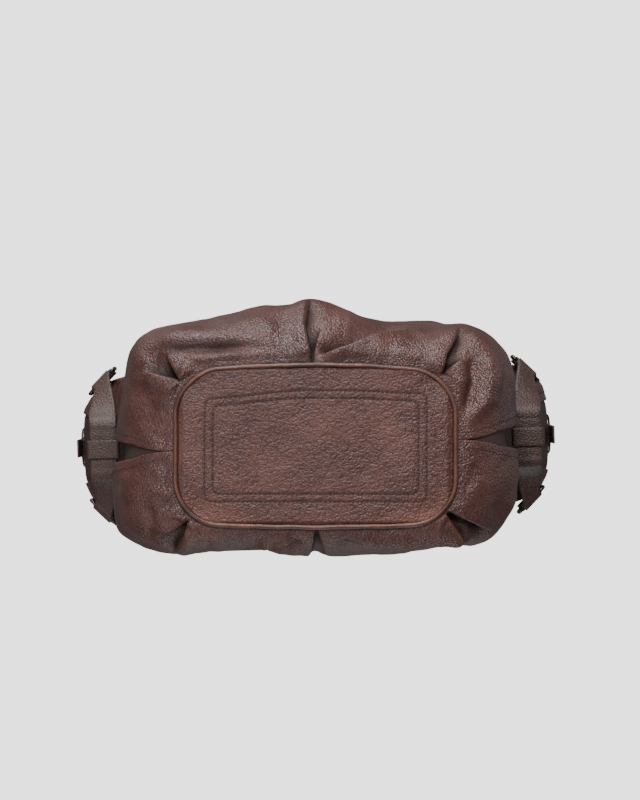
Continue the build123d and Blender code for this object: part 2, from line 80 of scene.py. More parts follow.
def twisted(points: np.ndarray, share: np.ndarray | float = 1.0) -> np.ndarray:
    """Turns points about the upright axis with the settled bag.

    Args:
        points: Points as (..., 3).
        share: How much of the whole twist each point takes.

    Returns:
        The turned points.
    """
    angle = TWIST * share
    out = points.copy()
    out[..., 0] = points[..., 0] * np.cos(angle) - points[..., 1] * np.sin(angle)
    out[..., 1] = points[..., 0] * np.sin(angle) + points[..., 1] * np.cos(angle)
    return out


def unit(vectors: np.ndarray) -> np.ndarray:
    """Vectors at length one."""
    return vectors / np.maximum(np.linalg.norm(vectors, axis=-1, keepdims=True), 1e-12)


def spline(points: np.ndarray, count: int, closed: bool = False) -> np.ndarray:
    """A Catmull-Rom curve through points, at even steps along its length.

    Args:
        points: The points it passes, as (n, d).
        count: How many points to return.
        closed: Whether it runs back to its start.

    Returns:
        The curve's points as (count, d). A closed curve doesn't repeat its start.
    """
    pts = np.asarray(points, float)
    padded = np.vstack([pts[-1:], pts, pts[:2]]) if closed else np.vstack(
        [2 * pts[0] - pts[1], pts, 2 * pts[-1] - pts[-2]]
    )
    t = np.linspace(0, 1, 24, endpoint=False)[:, None]
    spans = []
    for a, b, c, d in zip(padded, padded[1:], padded[2:], padded[3:]):
        spans.append(
            0.5 * (2 * b + (c - a) * t + (2 * a - 5 * b + 4 * c - d) * t**2
                   + (3 * b - a - 3 * c + d) * t**3)
        )
    dense = np.vstack(spans + [pts[:1] if closed else pts[-1:]])
    return resampled(dense, count, closed)


def resampled(dense: np.ndarray, count: int, closed: bool = False) -> np.ndarray:
    """Points at even steps along a polyline.

    Args:
        dense: The polyline's points as (n, d).
        count: How many points to return.
        closed: Whether the last point is left out, because it is the start again.

    Returns:
        The points as (count, d).
    """
    length = np.concatenate([[0], np.cumsum(np.linalg.norm(np.diff(dense, axis=0), axis=1))])
    at = np.linspace(0, length[-1], count, endpoint=not closed)
    return np.stack([np.interp(at, length, dense[:, i]) for i in range(dense.shape[1])], axis=1)


def rounded_rectangle(half_x: float, half_y: float, corner: float, count: int) -> np.ndarray:
    """A rounded rectangle from the middle of its front (-Y) side, going towards +X.

    Args:
        half_x: Half its length.
        half_y: Half its width.
        corner: The radius of its corners.
        count: How many points to return.

    Returns:
        The points as (count, 2), at even steps.
    """
    turn = np.linspace(0, math.pi / 2, 24)
    arc = np.stack([np.sin(turn), -np.cos(turn)], axis=1) * corner
    inner = np.array([half_x - corner, half_y - corner])
    right = np.vstack([arc + inner * (1, -1), arc[::-1] * (1, -1) + inner])
    dense = np.vstack([(0, -half_y), right, right[::-1] * (-1, 1), (0, -half_y)])
    return resampled(dense, count, closed=True)


def bowed(plan: np.ndarray) -> np.ndarray:
    """Points of the base in plan, as its long sides have bowed out and its corners drawn in.

    Args:
        plan: Points as (n, 2), in millimetres.

    Returns:
        The moved points.
    """
    x, y = plan[:, 0], plan[:, 1]
    side = smoothstep((np.abs(y) - 4) / 40)
    drawn = np.where(y < 0, 5.5, -3.0) * np.minimum((x / 100) ** 2, 1.3)
    return np.stack([x, y + drawn * side], axis=1)


def ripple(points: np.ndarray, size: float, seed: int) -> np.ndarray:
    """Soft, repeatable noise from a few dozen waves.

    Args:
        points: Points as (..., d), in the same unit as size.
        size: The typical distance from crest to crest.
        seed: Chooses the pattern.

    Returns:
        Values of about -1 to 1, one for each point.
    """
    random = np.random.default_rng(seed)
    total = np.zeros(points.shape[:-1])
    waves = 14
    for _ in range(waves):
        heading = unit(random.normal(size=points.shape[-1]))
        stretch = size * random.uniform(0.65, 1.6)
        phase = random.uniform(0, 2 * math.pi)
        total += np.sin(points @ heading * (2 * math.pi / stretch) + phase)
    return total / math.sqrt(waves)


def blurred(field: np.ndarray, times: int) -> np.ndarray:
    """A grid's values, each shared a little with its neighbours, a number of times.

    Args:
        field: Values as (rows, columns) or (rows, columns, d).
        times: How many times they are shared.

    Returns:
        The smoothed values.
    """
    for _ in range(times):
        for axis in (0, 1):
            ends = [(1, 1) if a == axis else (0, 0) for a in range(field.ndim)]
            wide = np.moveaxis(np.pad(field, ends, mode="edge"), axis, 0)
            field = np.moveaxis(0.25 * wide[:-2] + 0.5 * wide[1:-1] + 0.25 * wide[2:], 0, axis)
    return field


def grid_faces(rows: int, columns: int, closed: bool = False) -> np.ndarray:
    """The four-sided faces of a grid whose points run row by row.

    Args:
        rows: How many rows of points there are.
        columns: How many points a row has.
        closed: Whether each row runs back to its start.

    Returns:
        The faces as (n, 4) point numbers.
    """
    across = columns if closed else columns - 1
    i, j = np.meshgrid(np.arange(rows - 1), np.arange(across), indexing="ij")
    k = (j + 1) % columns
    faces = [i * columns + j, i * columns + k, (i + 1) * columns + k, (i + 1) * columns + j]
    return np.stack(faces, axis=-1).reshape(-1, 4)


def normals_of(grid: np.ndarray, closed: bool = False) -> np.ndarray:
    """The surface normal at each point of a grid of points.

    Args:
        grid: Points as (rows, columns, 3).
        closed: Whether each row runs back to its start.

    Returns:
        Unit normals as (rows, columns, 3).
    """
    if closed:
        ends = np.concatenate([grid[:, -1:], grid, grid[:, :1]], axis=1)
        along = np.gradient(ends, axis=1)[:, 1:-1]
    else:
        along = np.gradient(grid, axis=1)
    return unit(np.cross(along, np.gradient(grid, axis=0)))


def new_piece(name: str, points: np.ndarray, faces: np.ndarray) -> bpy.types.Object:
    """A mesh object made from points in millimetres.

    Args:
        name: The piece's name.
        points: Its points as (n, 3), in millimetres.
        faces: Its faces, each a row of point numbers.

    Returns:
        The new object, linked to the scene.
    """
    mesh = bpy.data.meshes.new(name)
    mesh.from_pydata((points * MM).tolist(), [], [list(face) for face in faces])
    mesh.polygons.foreach_set("use_smooth", [True] * len(mesh.polygons))
    mesh.update()
    piece = bpy.data.objects.new(name, mesh)
    bpy.context.scene.collection.objects.link(piece)
    return piece


def paint(piece: bpy.types.Object, name: str, values: np.ndarray) -> None:
    """Stores one number for each point of a piece, for its finish to read."""
    attribute = piece.data.attributes.new(name, "FLOAT", "POINT")
    attribute.data.foreach_set("value", np.asarray(values, np.float32).ravel())


def unworn(piece: bpy.types.Object) -> None:
    """Paints a piece as leather that nothing has rubbed."""
    paint(piece, "wear", np.zeros(len(piece.data.vertices)))


def only(piece: bpy.types.Object) -> None:
    """Makes a piece the only selected and active object.

    Args:
        piece: The object to select.
    """
    bpy.ops.object.select_all(action="DESELECT")
    piece.select_set(True)
    bpy.context.view_layer.objects.active = piece


def finish_modifiers(piece: bpy.types.Object) -> None:
    """Applies every modifier that a piece has.

    Args:
        piece: The object to finish.
    """
    only(piece)
    for modifier in list(piece.modifiers):
        bpy.ops.object.modifier_apply(modifier=modifier.name)


def dress(piece: bpy.types.Object, finish: "Finish", body: str, *nodes: str,
          blended: bool = False) -> bpy.types.Object:
    """Gives a piece its finish, its body and the CAD nodes that it stands for.

    Args:
        piece: The new object.
        finish: What it is made of.
        body: The body that it rides on.
        *nodes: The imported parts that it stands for.
        blended: Whether it already follows two bodies.

    Returns:
        The same object.
    """
    piece.data.materials.clear()
    piece.data.materials.append(finish.material())
    if not blended:
        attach(piece, body)
    if nodes:
        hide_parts(*nodes)
    LOG.info("%s: %d faces", piece.name, len(piece.data.polygons))
    return piece


def swept(
    name: str,
    centres: np.ndarray,
    across: np.ndarray,
    width: float | np.ndarray,
    thickness: float | np.ndarray,
    closed: bool = False,
    crown: float = 0.0,
    sheared: bool = False,
) -> bpy.types.Object:
    """A flat strap with rounded edges, swept along a path.

    Args:
        name: The piece's name.
        centres: The path as (n, 3), in millimetres.
        across: The direction of the strap's width at each point.
        width: Its width.
        thickness: Its thickness.
        closed: Whether the path runs back to its start.
        crown: How much thicker it is in the middle than at its edges, as a share.
        sheared: Whether its ends keep to the width's direction where that isn't square.

    Returns:
        The new object.
    """
    count = len(centres)
    if closed:
        ring = np.vstack([centres[-1:], centres, centres[:1]])
        tangent = unit(np.gradient(ring, axis=0)[1:-1])
    else:
        tangent = unit(np.gradient(centres, axis=0))
    side = unit(across - tangent * np.sum(across * tangent, axis=1, keepdims=True))
    if sheared:
        side = unit(across)
    face = unit(np.cross(tangent, side))
    width = np.broadcast_to(width, (count,))[:, None]
    thickness = np.broadcast_to(thickness, (count,))[:, None]
    section = strap_section(crown)
    round_edge = thickness / 2
    x = section[:, 0] * (width / 2 - round_edge) + section[:, 1] * round_edge
    y = section[:, 2] * thickness / 2
    points = centres[:, None] + side[:, None] * x[..., None] + face[:, None] * y[..., None]
    columns = section.shape[0]
    faces = [list(f) for f in grid_faces(count + closed, columns, closed=True) % (count * columns)]
    if not closed:
        faces.append(list(range(columns))[::-1])
        faces.append(list(range((count - 1) * columns, count * columns)))
    piece = new_piece(name, points.reshape(-1, 3), faces)
    edge = np.broadcast_to(np.abs(section[:, 1]) ** 0.5, (count, columns))
    paint(piece, "edge", edge)
    return piece


def strap_section(crown: float) -> np.ndarray:
    """A strap's section as rows of (share of flat half width, edge round, height share).

    Args:
        crown: How much thicker it is in the middle than at its edges, as a share.

    Returns:
        The rows, once round the section.
    """
    rows = []
    for sign, turns in ((1, (-90, -60, -30, 0, 30, 60, 90)), (-1, (90, 60, 30, 0, -30, -60, -90))):
        for degrees in turns:
            angle = math.radians(degrees)
            rows.append((sign, sign * math.cos(angle), math.sin(angle)))
        flat = 1 if turns[-1] > 0 else -1
        for share in (0.75, 0.5, 0.0, -0.5, -0.75):
            rows.append((sign * share, 0.0, flat * (1 + crown * (1 - share**2))))
    return np.array(rows)


def tube(name: str, centres: np.ndarray, radius: np.ndarray | float, sides: int = 14,
         closed: bool = True) -> bpy.types.Object:
    """A round tube along a path, with its frame carried along so that it doesn't twist.

    Args:
        name: The piece's name.
        centres: The path as (n, 3), in millimetres.
        radius: The tube's radius, the same all along or one for each point.
        sides: How many sides it has.
        closed: Whether the path runs back to its start.

    Returns:
        The new object.
    """
    count = len(centres)
    ring = np.vstack([centres[-1:], centres, centres[:1]]) if closed else centres
    tangent = unit(np.gradient(ring, axis=0)[1:-1] if closed else np.gradient(ring, axis=0))
    up = np.broadcast_to(np.array([0.0, 0.0, 1.0]), tangent.shape)
    side = unit(np.cross(up, tangent))
    over = np.cross(tangent, side)
    turn = np.linspace(0, 2 * math.pi, sides, endpoint=False)
    spread = np.broadcast_to(radius, (count,))[:, None, None]
    points = centres[:, None] + spread * (
        side[:, None] * np.cos(turn)[None, :, None] + over[:, None] * np.sin(turn)[None, :, None]
    )
    faces = grid_faces(count + closed, sides, closed=True) % (count * sides)
    return new_piece(name, points.reshape(-1, 3), faces)


def stitches(name: str, path: np.ndarray, lift: np.ndarray, pitch: float = 3.6,
             thickness: float = 0.55, closed: bool = False) -> bpy.types.Object:
    """A row of short thread stitches laid along a path.

    Args:
        name: The piece's name.
        path: The row's line as (n, 3), in millimetres, on the surface.
        lift: The outward direction of the surface along the path.
        pitch: The distance from one stitch to the next.
        thickness: The thread's thickness.
        closed: Whether the row runs back to its start.

    Returns:
        The new object.
    """
    loop = np.vstack([path, path[:1]]) if closed else path
    outward = np.vstack([lift, lift[:1]]) if closed else lift
    total = np.sum(np.linalg.norm(np.diff(loop, axis=0), axis=1))
    count = max(2, round(total / pitch))
    along = resampled(np.hstack([loop, outward * 1e-9]), count + 1)
    length = np.concatenate([[0], np.cumsum(np.linalg.norm(np.diff(loop, axis=0), axis=1))])
    at = np.linspace(0, length[-1], count + 1)
    ups = unit(np.stack([np.interp(at, length, outward[:, i]) for i in range(3)], axis=1))
    starts, ends = along[:-1, :3], along[1:, :3]
    forward = unit(ends - starts)
    up = unit(ups[:-1] - forward * np.sum(ups[:-1] * forward, axis=1, keepdims=True))
    side = np.cross(forward, up)
    # A stitch is a six-sided thread that dives into the leather at both ends.
    shares = np.array([0.10, 0.24, 0.5, 0.76, 0.90])
    sizes = np.array([0.35, 0.9, 1.0, 0.9, 0.35])
    heights = np.array([-0.75, 0.0, 0.25, 0.0, -0.75])
    turn = np.linspace(0, 2 * math.pi, 6, endpoint=False)
    rings = []
    for share, size, height in zip(shares, sizes, heights):
        middle = lerp(starts, ends, share) + up * thickness * height
        around = side[:, None] * np.cos(turn)[None, :, None] + up[:, None] * np.sin(turn)[None, :, None]
        rings.append(middle[:, None] + around * thickness / 2 * size)
    points = np.stack(rings, axis=1)
    one = grid_faces(len(shares), 6, closed=True)
    per = len(shares) * 6
    faces = (one[None] + (np.arange(count) * per)[:, None, None]).reshape(-1, 4)
    return new_piece(name, points.reshape(-1, 3), faces)


def joined(name: str, pieces: list[bpy.types.Object]) -> bpy.types.Object:
    """Joins pieces into one object under a new name.

    Args:
        name: The whole's name.
        pieces: The objects to join.

    Returns:
        The joined object.
    """
    only(pieces[0])
    for piece in pieces[1:]:
        piece.select_set(True)
    bpy.ops.object.join()
    whole = bpy.context.view_layer.objects.active
    whole.name = name
    whole.data.name = name
    return whole


# ---- Finishes --------------------------------------------------------------
def linear(code: str) -> tuple[float, float, float, float]:
    """A colour from its sRGB hex code, as linear light."""
    channels = [int(code[i:i + 2], 16) / 255 for i in (1, 3, 5)]
    return (*[c / 12.92 if c <= 0.04045 else ((c + 0.055) / 1.055) ** 2.4 for c in channels], 1.0)


def add_node(tree: bpy.types.NodeTree, kind: str, settings: dict[str, object] | None = None,
             **links: object) -> bpy.types.Node:
    """Adds a node with its settings, and fills its inputs.

    Args:
        tree: The node tree.
        kind: The node's type.
        settings: Its properties by name.
        **links: Its inputs by name, with _ for a space, each a socket or a value.

    Returns:
        The new node.
    """
    node = tree.nodes.new(kind)
    for key, value in (settings or {}).items():
        setattr(node, key, value)
    for key, value in links.items():
        name = key.replace("_", " ")
        socket = next(s for s in node.inputs if s.name == name and s.enabled) if name in node.inputs \
            else node.inputs[int(key.strip("n"))]
        if isinstance(value, bpy.types.NodeSocket):
            tree.links.new(value, socket)
        else:
            socket.default_value = value
    return node


_MADE: dict[str, bpy.types.Material] = {}


@dataclass(frozen=True)
class Finish:
    """What every finish has: its name, its slot in the record, and its typical gloss."""

    name: str
    slot: str
    colour: str
    roughness: float

    def material(self) -> bpy.types.Material:
        """The finish's material, made once.

        Returns:
            The material.
        """
        if self.name not in _MADE:
            material = bpy.data.materials.new(self.name)
            material.use_nodes = True
            tree = material.node_tree
            tree.nodes.clear()
            shader = add_node(tree, "ShaderNodeBsdfPrincipled")
            shader.inputs["Base Color"].default_value = linear(self.colour)
            shader.inputs["Roughness"].default_value = self.roughness
            self.build(tree, shader)
            add_node(tree, "ShaderNodeOutputMaterial", None, Surface=shader.outputs[0])
            _MADE[self.name] = material
        return _MADE[self.name]

    def build(self, tree: bpy.types.NodeTree, shader: bpy.types.Node) -> None:
        """Adds the nodes that make this finish what it is.

        Args:
            tree: The material's nodes.
            shader: Its shader.
        """


@dataclass(frozen=True)
class PebbledLeather(Finish):
    """Full-grain calf, drum-dyed and milled until its grain stands up in pebbles.

    The pebbles catch the light one by one, and the creases between them stay dark.
    """

    pebble_mm: float = 1.7
    dark: str = "#3d2421"
    light: str = "#573630"
    worn: str = "#93593a"
    # The near-black of the painted shade that darkens creases, seams and stitch grooves.
    painted_shade_colour: str = "#170d0b"
    depth_mm: float = 0.6
    crease_mm: float = 0.0
    crease_turn: float = 0.0

    def build(self, tree: bpy.types.NodeTree, shader: bpy.types.Node) -> None:
        """Pebbles, fine pores, uneven dye, and the wear and the painted shade stored on the mesh.

        Args:
            tree: The material's nodes.
            shader: Its shader.
        """
        place = add_node(tree, "ShaderNodeTexCoord").outputs["Object"]
        scale = 1000 / self.pebble_mm
        bend = add_node(tree, "ShaderNodeTexNoise", None, Vector=place, Scale=scale / 4, Detail=2.0)
        shift = add_node(tree, "ShaderNodeVectorMath", {"operation": "MULTIPLY_ADD"},
                         n0=bend.outputs["Color"], n1=(0.0007, 0.0007, 0.0007), n2=place)
        cells = add_node(tree, "ShaderNodeTexVoronoi", {"feature": "F1"},
                         Vector=shift.outputs[0], Scale=scale)
        fine = add_node(tree, "ShaderNodeTexVoronoi", {"feature": "F1"},
                        Vector=shift.outputs[0], Scale=scale * 2.3)
        pore = add_node(tree, "ShaderNodeTexNoise", None, Vector=place, Scale=scale * 5, Detail=3.0)
        pebbles = add_node(tree, "ShaderNodeMath", {"operation": "MULTIPLY_ADD"},
                           n0=fine.outputs["Distance"], n1=0.2, n2=cells.outputs["Distance"])
        height = add_node(tree, "ShaderNodeMath", {"operation": "MULTIPLY_ADD"},
                          n0=pore.outputs["Fac"], n1=-0.12, n2=pebbles.outputs[0]).outputs[0]
        if self.crease_mm:
            turned = add_node(tree, "ShaderNodeMapping", None, Vector=place,
                              Rotation=(0.0, 0.0, math.radians(self.crease_turn)),
                              Scale=(0.6, 1.0, 1.0))
            waves = add_node(tree, "ShaderNodeTexVoronoi", {"feature": "DISTANCE_TO_EDGE"},
                             Vector=turned.outputs[0], Scale=1000 / self.crease_mm)
            line = add_node(tree, "ShaderNodeMath", {"operation": "MULTIPLY"},
                            n0=waves.outputs["Distance"], n1=-2.4)
            clamp = add_node(tree, "ShaderNodeMath", {"operation": "MAXIMUM"},
                             n0=line.outputs[0], n1=-0.5)
            height = add_node(tree, "ShaderNodeMath", {"operation": "ADD"},
                              n0=height, n1=clamp.outputs[0]).outputs[0]
        bump = add_node(tree, "ShaderNodeBump", {"invert": True}, Height=height, Strength=1.0,
                        Distance=self.depth_mm * MM)
        cloud = add_node(tree, "ShaderNodeTexNoise", None, Vector=place, Scale=24.0, Detail=4.0)
        tone = add_node(tree, "ShaderNodeMath", {"operation": "MULTIPLY_ADD"},
                        n0=cells.outputs["Distance"], n1=-0.5, n2=cloud.outputs["Fac"])
        dye = add_node(tree, "ShaderNodeValToRGB", None, Fac=tone.outputs[0])
        for element, position, code in zip(dye.color_ramp.elements, (0.1, 0.6), (self.dark, self.light)):
            element.position = position
            element.color = linear(code)
        dyed = dye.outputs["Color"]
        # Painted shade: the share stored on the mesh darkens the dye towards near-black, and also dulls the
        # gloss.
        painted_shade = add_node(tree, "ShaderNodeAttribute", {"attribute_name": "painted_shade"})
        painted_shade_colour = add_node(tree, "ShaderNodeMix", {"data_type": "RGBA"})
        tree.links.new(painted_shade.outputs["Fac"], painted_shade_colour.inputs[0])
        tree.links.new(dyed, painted_shade_colour.inputs[6])
        painted_shade_colour.inputs[7].default_value = linear(self.painted_shade_colour)
        wear = add_node(tree, "ShaderNodeAttribute", {"attribute_name": "wear"})
        rub = add_node(tree, "ShaderNodeTexNoise", None, Vector=place, Scale=180.0, Detail=5.0)
        rubbed = add_node(tree, "ShaderNodeMath", {"operation": "MULTIPLY", "use_clamp": True},
                          n0=wear.outputs["Fac"], n1=rub.outputs["Fac"])
        mixed = add_node(tree, "ShaderNodeMix", {"data_type": "RGBA"})
        tree.links.new(rubbed.outputs[0], mixed.inputs[0])
        tree.links.new(painted_shade_colour.outputs[2], mixed.inputs[6])
        mixed.inputs[7].default_value = linear(self.worn)
        tree.links.new(mixed.outputs[2], shader.inputs["Base Color"])
        gloss = add_node(tree, "ShaderNodeMapRange", None, Value=cloud.outputs["Fac"])
        gloss.inputs["To Min"].default_value = self.roughness - 0.08
        gloss.inputs["To Max"].default_value = self.roughness + 0.12
        dull = add_node(tree, "ShaderNodeMath", {"operation": "MULTIPLY_ADD", "use_clamp": True},
                        n0=painted_shade.outputs["Fac"], n1=0.6, n2=gloss.outputs[0])
        tree.links.new(dull.outputs[0], shader.inputs["Roughness"])
        tree.links.new(bump.outputs[0], shader.inputs["Normal"])
        shader.inputs["Specular IOR Level"].default_value = 0.42


@dataclass(frozen=True)
class EdgePaintedLeather(PebbledLeather):
    """Smooth strap leather whose cut edges are sealed with dark paint."""

    paint_colour: str = "#2b1f1d"

    def build(self, tree: bpy.types.NodeTree, shader: bpy.types.Node) -> None:
        """The leather, with glossy dark paint where the mesh says there is an edge.

        Args:
            tree: The material's nodes.
            shader: Its shader.
        """
        super().build(tree, shader)
        under = shader.inputs["Base Color"].links[0].from_socket
        edge = add_node(tree, "ShaderNodeAttribute", {"attribute_name": "edge"})
        mask = add_node(tree, "ShaderNodeMapRange", None, Value=edge.outputs["Fac"])
        mask.inputs["From Min"].default_value = 0.45
        mask.inputs["From Max"].default_value = 0.75
        mixed = add_node(tree, "ShaderNodeMix", {"data_type": "RGBA"})
        tree.links.new(mask.outputs[0], mixed.inputs[0])
        tree.links.new(under, mixed.inputs[6])
        mixed.inputs[7].default_value = linear(self.paint_colour)
        tree.links.new(mixed.outputs[2], shader.inputs["Base Color"])


@dataclass(frozen=True)
class TwillCloth(Finish):
    """Cotton twill: fine diagonal ribs and a soft, dry surface."""

    rib_mm: float = 1.2

    def build(self, tree: bpy.types.NodeTree, shader: bpy.types.Node) -> None:
        """Diagonal ribs crossed by threads, with a slightly uneven dye.

        Args:
            tree: The material's nodes.
            shader: Its shader.
        """
        place = add_node(tree, "ShaderNodeTexCoord").outputs["Object"]
        scale = 1000 / self.rib_mm / (2 * math.pi) * 1.57
        ribs = add_node(tree, "ShaderNodeTexWave", {"bands_direction": "DIAGONAL"},
                        Vector=place, Scale=scale, Distortion=0.4)
        cloud = add_node(tree, "ShaderNodeTexNoise", None, Vector=place, Scale=40.0, Detail=4.0)
        bump = add_node(tree, "ShaderNodeBump", None, Height=ribs.outputs["Fac"], Strength=0.5,
                        Distance=0.15 * MM)
        tint = add_node(tree, "ShaderNodeHueSaturation", None, Color=linear(self.colour))
        value = add_node(tree, "ShaderNodeMapRange", None, Value=cloud.outputs["Fac"])
        value.inputs["To Min"].default_value = 0.75
        value.inputs["To Max"].default_value = 1.2
        tree.links.new(value.outputs[0], tint.inputs["Value"])
        tree.links.new(tint.outputs[0], shader.inputs["Base Color"])
        tree.links.new(bump.outputs[0], shader.inputs["Normal"])
        shader.inputs["Sheen Weight"].default_value = 0.25


@dataclass(frozen=True)
class Thread(Finish):
    """Bonded nylon thread, two strands twisted together."""

    def build(self, tree: bpy.types.NodeTree, shader: bpy.types.Node) -> None:
        """A fine twist along the thread.

        Args:
            tree: The material's nodes.
            shader: Its shader.
        """
        place = add_node(tree, "ShaderNodeTexCoord").outputs["Object"]
        twist = add_node(tree, "ShaderNodeTexNoise", None, Vector=place, Scale=2200.0, Detail=1.0)
        bump = add_node(tree, "ShaderNodeBump", None, Height=twist.outputs["Fac"], Strength=0.6,
                        Distance=0.1 * MM)
        tree.links.new(bump.outputs[0], shader.inputs["Normal"])


@dataclass(frozen=True)
class PlatedMetal(Finish):
    """Zinc casting, tumbled and plated: smooth, with faint rubbed streaks."""

    def build(self, tree: bpy.types.NodeTree, shader: bpy.types.Node) -> None:
        """Metal with slightly uneven gloss.

        Args:
            tree: The material's nodes.
            shader: Its shader.
        """
        place = add_node(tree, "ShaderNodeTexCoord").outputs["Object"]
        rub = add_node(tree, "ShaderNodeTexNoise", None, Vector=place, Scale=420.0, Detail=5.0)
        gloss = add_node(tree, "ShaderNodeMapRange", None, Value=rub.outputs["Fac"])
        gloss.inputs["To Min"].default_value = self.roughness * 0.7
        gloss.inputs["To Max"].default_value = self.roughness * 1.5
        tree.links.new(gloss.outputs[0], shader.inputs["Roughness"])
        bump = add_node(tree, "ShaderNodeBump", None, Height=rub.outputs["Fac"], Strength=0.25,
                        Distance=0.05 * MM)
        tree.links.new(bump.outputs[0], shader.inputs["Normal"])
        shader.inputs["Metallic"].default_value = 1.0


@dataclass(frozen=True)
class Board(Finish):
    """Pressed fibreboard and foam: dull and faintly speckled."""

    def build(self, tree: bpy.types.NodeTree, shader: bpy.types.Node) -> None:
        """Speckles of fibre.

        Args:
            tree: The material's nodes.
            shader: Its shader.
        """
        place = add_node(tree, "ShaderNodeTexCoord").outputs["Object"]
        speck = add_node(tree, "ShaderNodeTexNoise", None, Vector=place, Scale=700.0, Detail=6.0)
        bump = add_node(tree, "ShaderNodeBump", None, Height=speck.outputs["Fac"], Strength=0.5,
                        Distance=0.2 * MM)
        tree.links.new(bump.outputs[0], shader.inputs["Normal"])


class Leather(Enum):
    """The bag's leathers, by where they are used."""

    # Drum-milled full-grain calf: rounded pebbles that each catch the light.
    BODY = PebbledLeather("pebbled calf", "bag_leather", "#4a3430", 0.32)
    # The same calf pressed by the load on it: lower pebbles, crossed by fine creases.
    BASE = PebbledLeather("pressed base calf", "bag_leather", "#50342f", 0.4, pebble_mm=1.6,
                          dark="#412421", light="#5c372f", depth_mm=0.45, crease_mm=4.2,
                          crease_turn=-24.0)
    # The body calf, dyed darker as painted shade for the recessed gusset and the mouth's inside facing, and
    # duller.
    GUSSET = PebbledLeather("gusset calf", "bag_leather", "#43302c", 0.5, pebble_mm=1.7,
                            dark="#35221f", light="#48302b", depth_mm=0.3)
    # Thin calf drawn tight over a cord: hardly any grain, and gloss along its crown.
    PIPING = PebbledLeather("rubbed piping calf", "piping_leather", "#4a3430", 0.36, pebble_mm=1.1,
                            dark="#38211d", light="#4f3028", depth_mm=0.16)
    # Firm strap calf with sealed edges: a soft sheen, and dark lines at its cuts.
    STRAP = EdgePaintedLeather("strap calf", "trim_leather", "#4d3a34", 0.46, pebble_mm=1.5,
                               dark="#33211c", light="#432d28", depth_mm=0.32)


class Other(Enum):
    """The bag's other finishes."""

    # Cotton twill: dry and matt, with slanting ribs.
    LINING = TwillCloth("cotton twill", "lining_cloth", "#6d5644", 0.85)
    # Woven polyester tape: dark, matt and closely ribbed.
    TAPE = TwillCloth("zip tape weave", "zip_tape_cloth", "#2b211d", 0.8, rib_mm=0.8)
    # Bonded nylon: dull dark stitches that lie in their groove.
    THREAD = Thread("bonded thread", "bag_leather", "#251613", 0.6)
    STRAP_THREAD = Thread("strap thread", "trim_leather", "#33231e", 0.55)
    # Zinc with gunmetal plate: a dark gloss with faint streaks.
    GUNMETAL = PlatedMetal("gunmetal plate", "dark_metal", "#4a4544", 0.26)
    # Zinc with antique nickel plate: warmer and duller than the gunmetal.
    NICKEL = PlatedMetal("antique nickel", "zip_metal", "#6d665c", 0.34)
    # Pressed fibreboard: flat, dry and speckled.
    BOARD = Board("fibreboard", "stiffener_board", "#6f6252", 0.9)
    # Closed-cell foam: dark and matt.
    FOAM = Board("strap foam", "strap_filler", "#2a211e", 0.9)


# ---- The body's form -------------------------------------------------------
class Outline:
    """A closed outline, read by quarters that start at the middles of the four sides."""

    def __init__(self, points: np.ndarray, anchors: list[tuple[float, float]]) -> None:
        """Finds where the quarters start.

        Args:
            points: The outline's points as (n, 2), from front to right, back and left.
            anchors: A point near the middle of the front, right, back and left side.
        """
        starts = [int(np.argmin(np.linalg.norm(points - np.array(a), axis=1))) for a in anchors]
        rolled = np.roll(points, -starts[0], axis=0)
        starts = [(s - starts[0]) % len(points) for s in starts] + [len(points)]
        self.quarters = []
        loop = np.vstack([rolled, rolled[:1]])
        for first, last in zip(starts, starts[1:]):
            self.quarters.append(loop[first:last + 1])

    def at(self, place: np.ndarray) -> np.ndarray:
        """The points at places counted in quarters: 0 front, 1 right, 2 back, 3 left.

        Args:
            place: The places, in any shape.

        Returns:
            The points, with two numbers for each place.
        """
        turn = np.mod(place, 4.0)
        which = np.minimum(turn.astype(int), 3)
        result = np.zeros((*place.shape, 2))
        for number, quarter in enumerate(self.quarters):
            chosen = which == number
            steps = np.linalg.norm(np.diff(quarter, axis=0), axis=1)
            length = np.concatenate([[0], np.cumsum(steps)])
            at = (turn[chosen] - number) * length[-1]
            for axis in (0, 1):
                result[chosen, axis] = np.interp(at, length, quarter[:, axis])
        return result

    def quarter_length(self) -> float:
        """The mean length of a quarter."""
        return float(np.mean([np.sum(np.linalg.norm(np.diff(q, axis=0), axis=1)) for q in self.quarters]))


@dataclass(frozen=True)
class Fold:
    """A crease where the leather on one side laps over the other.

    The line is in plan, in millimetres, and starts at the base seam. The lip is on
    the side that turns anticlockwise from the line's heading when lip_side is 1.
    """

    line: tuple[tuple[float, float], ...]
    lip_side: int
    lip: float = 2.5
    sink: float = 5.0
    lip_width: float = 10.0
    dip_width: float = 9.0
    start_fade: float = 0.05
    end_fade: float = 0.35
    rubbed: float = 0.0
    overlap: float = 2.6
    roundness: float = 1.1


@dataclass(frozen=True)
class Swell:
    """A soft ridge, or a valley where its height is negative, along a line in plan."""

    line: tuple[tuple[float, float], ...]
    height: float
    width: float
    fade: float = 0.35


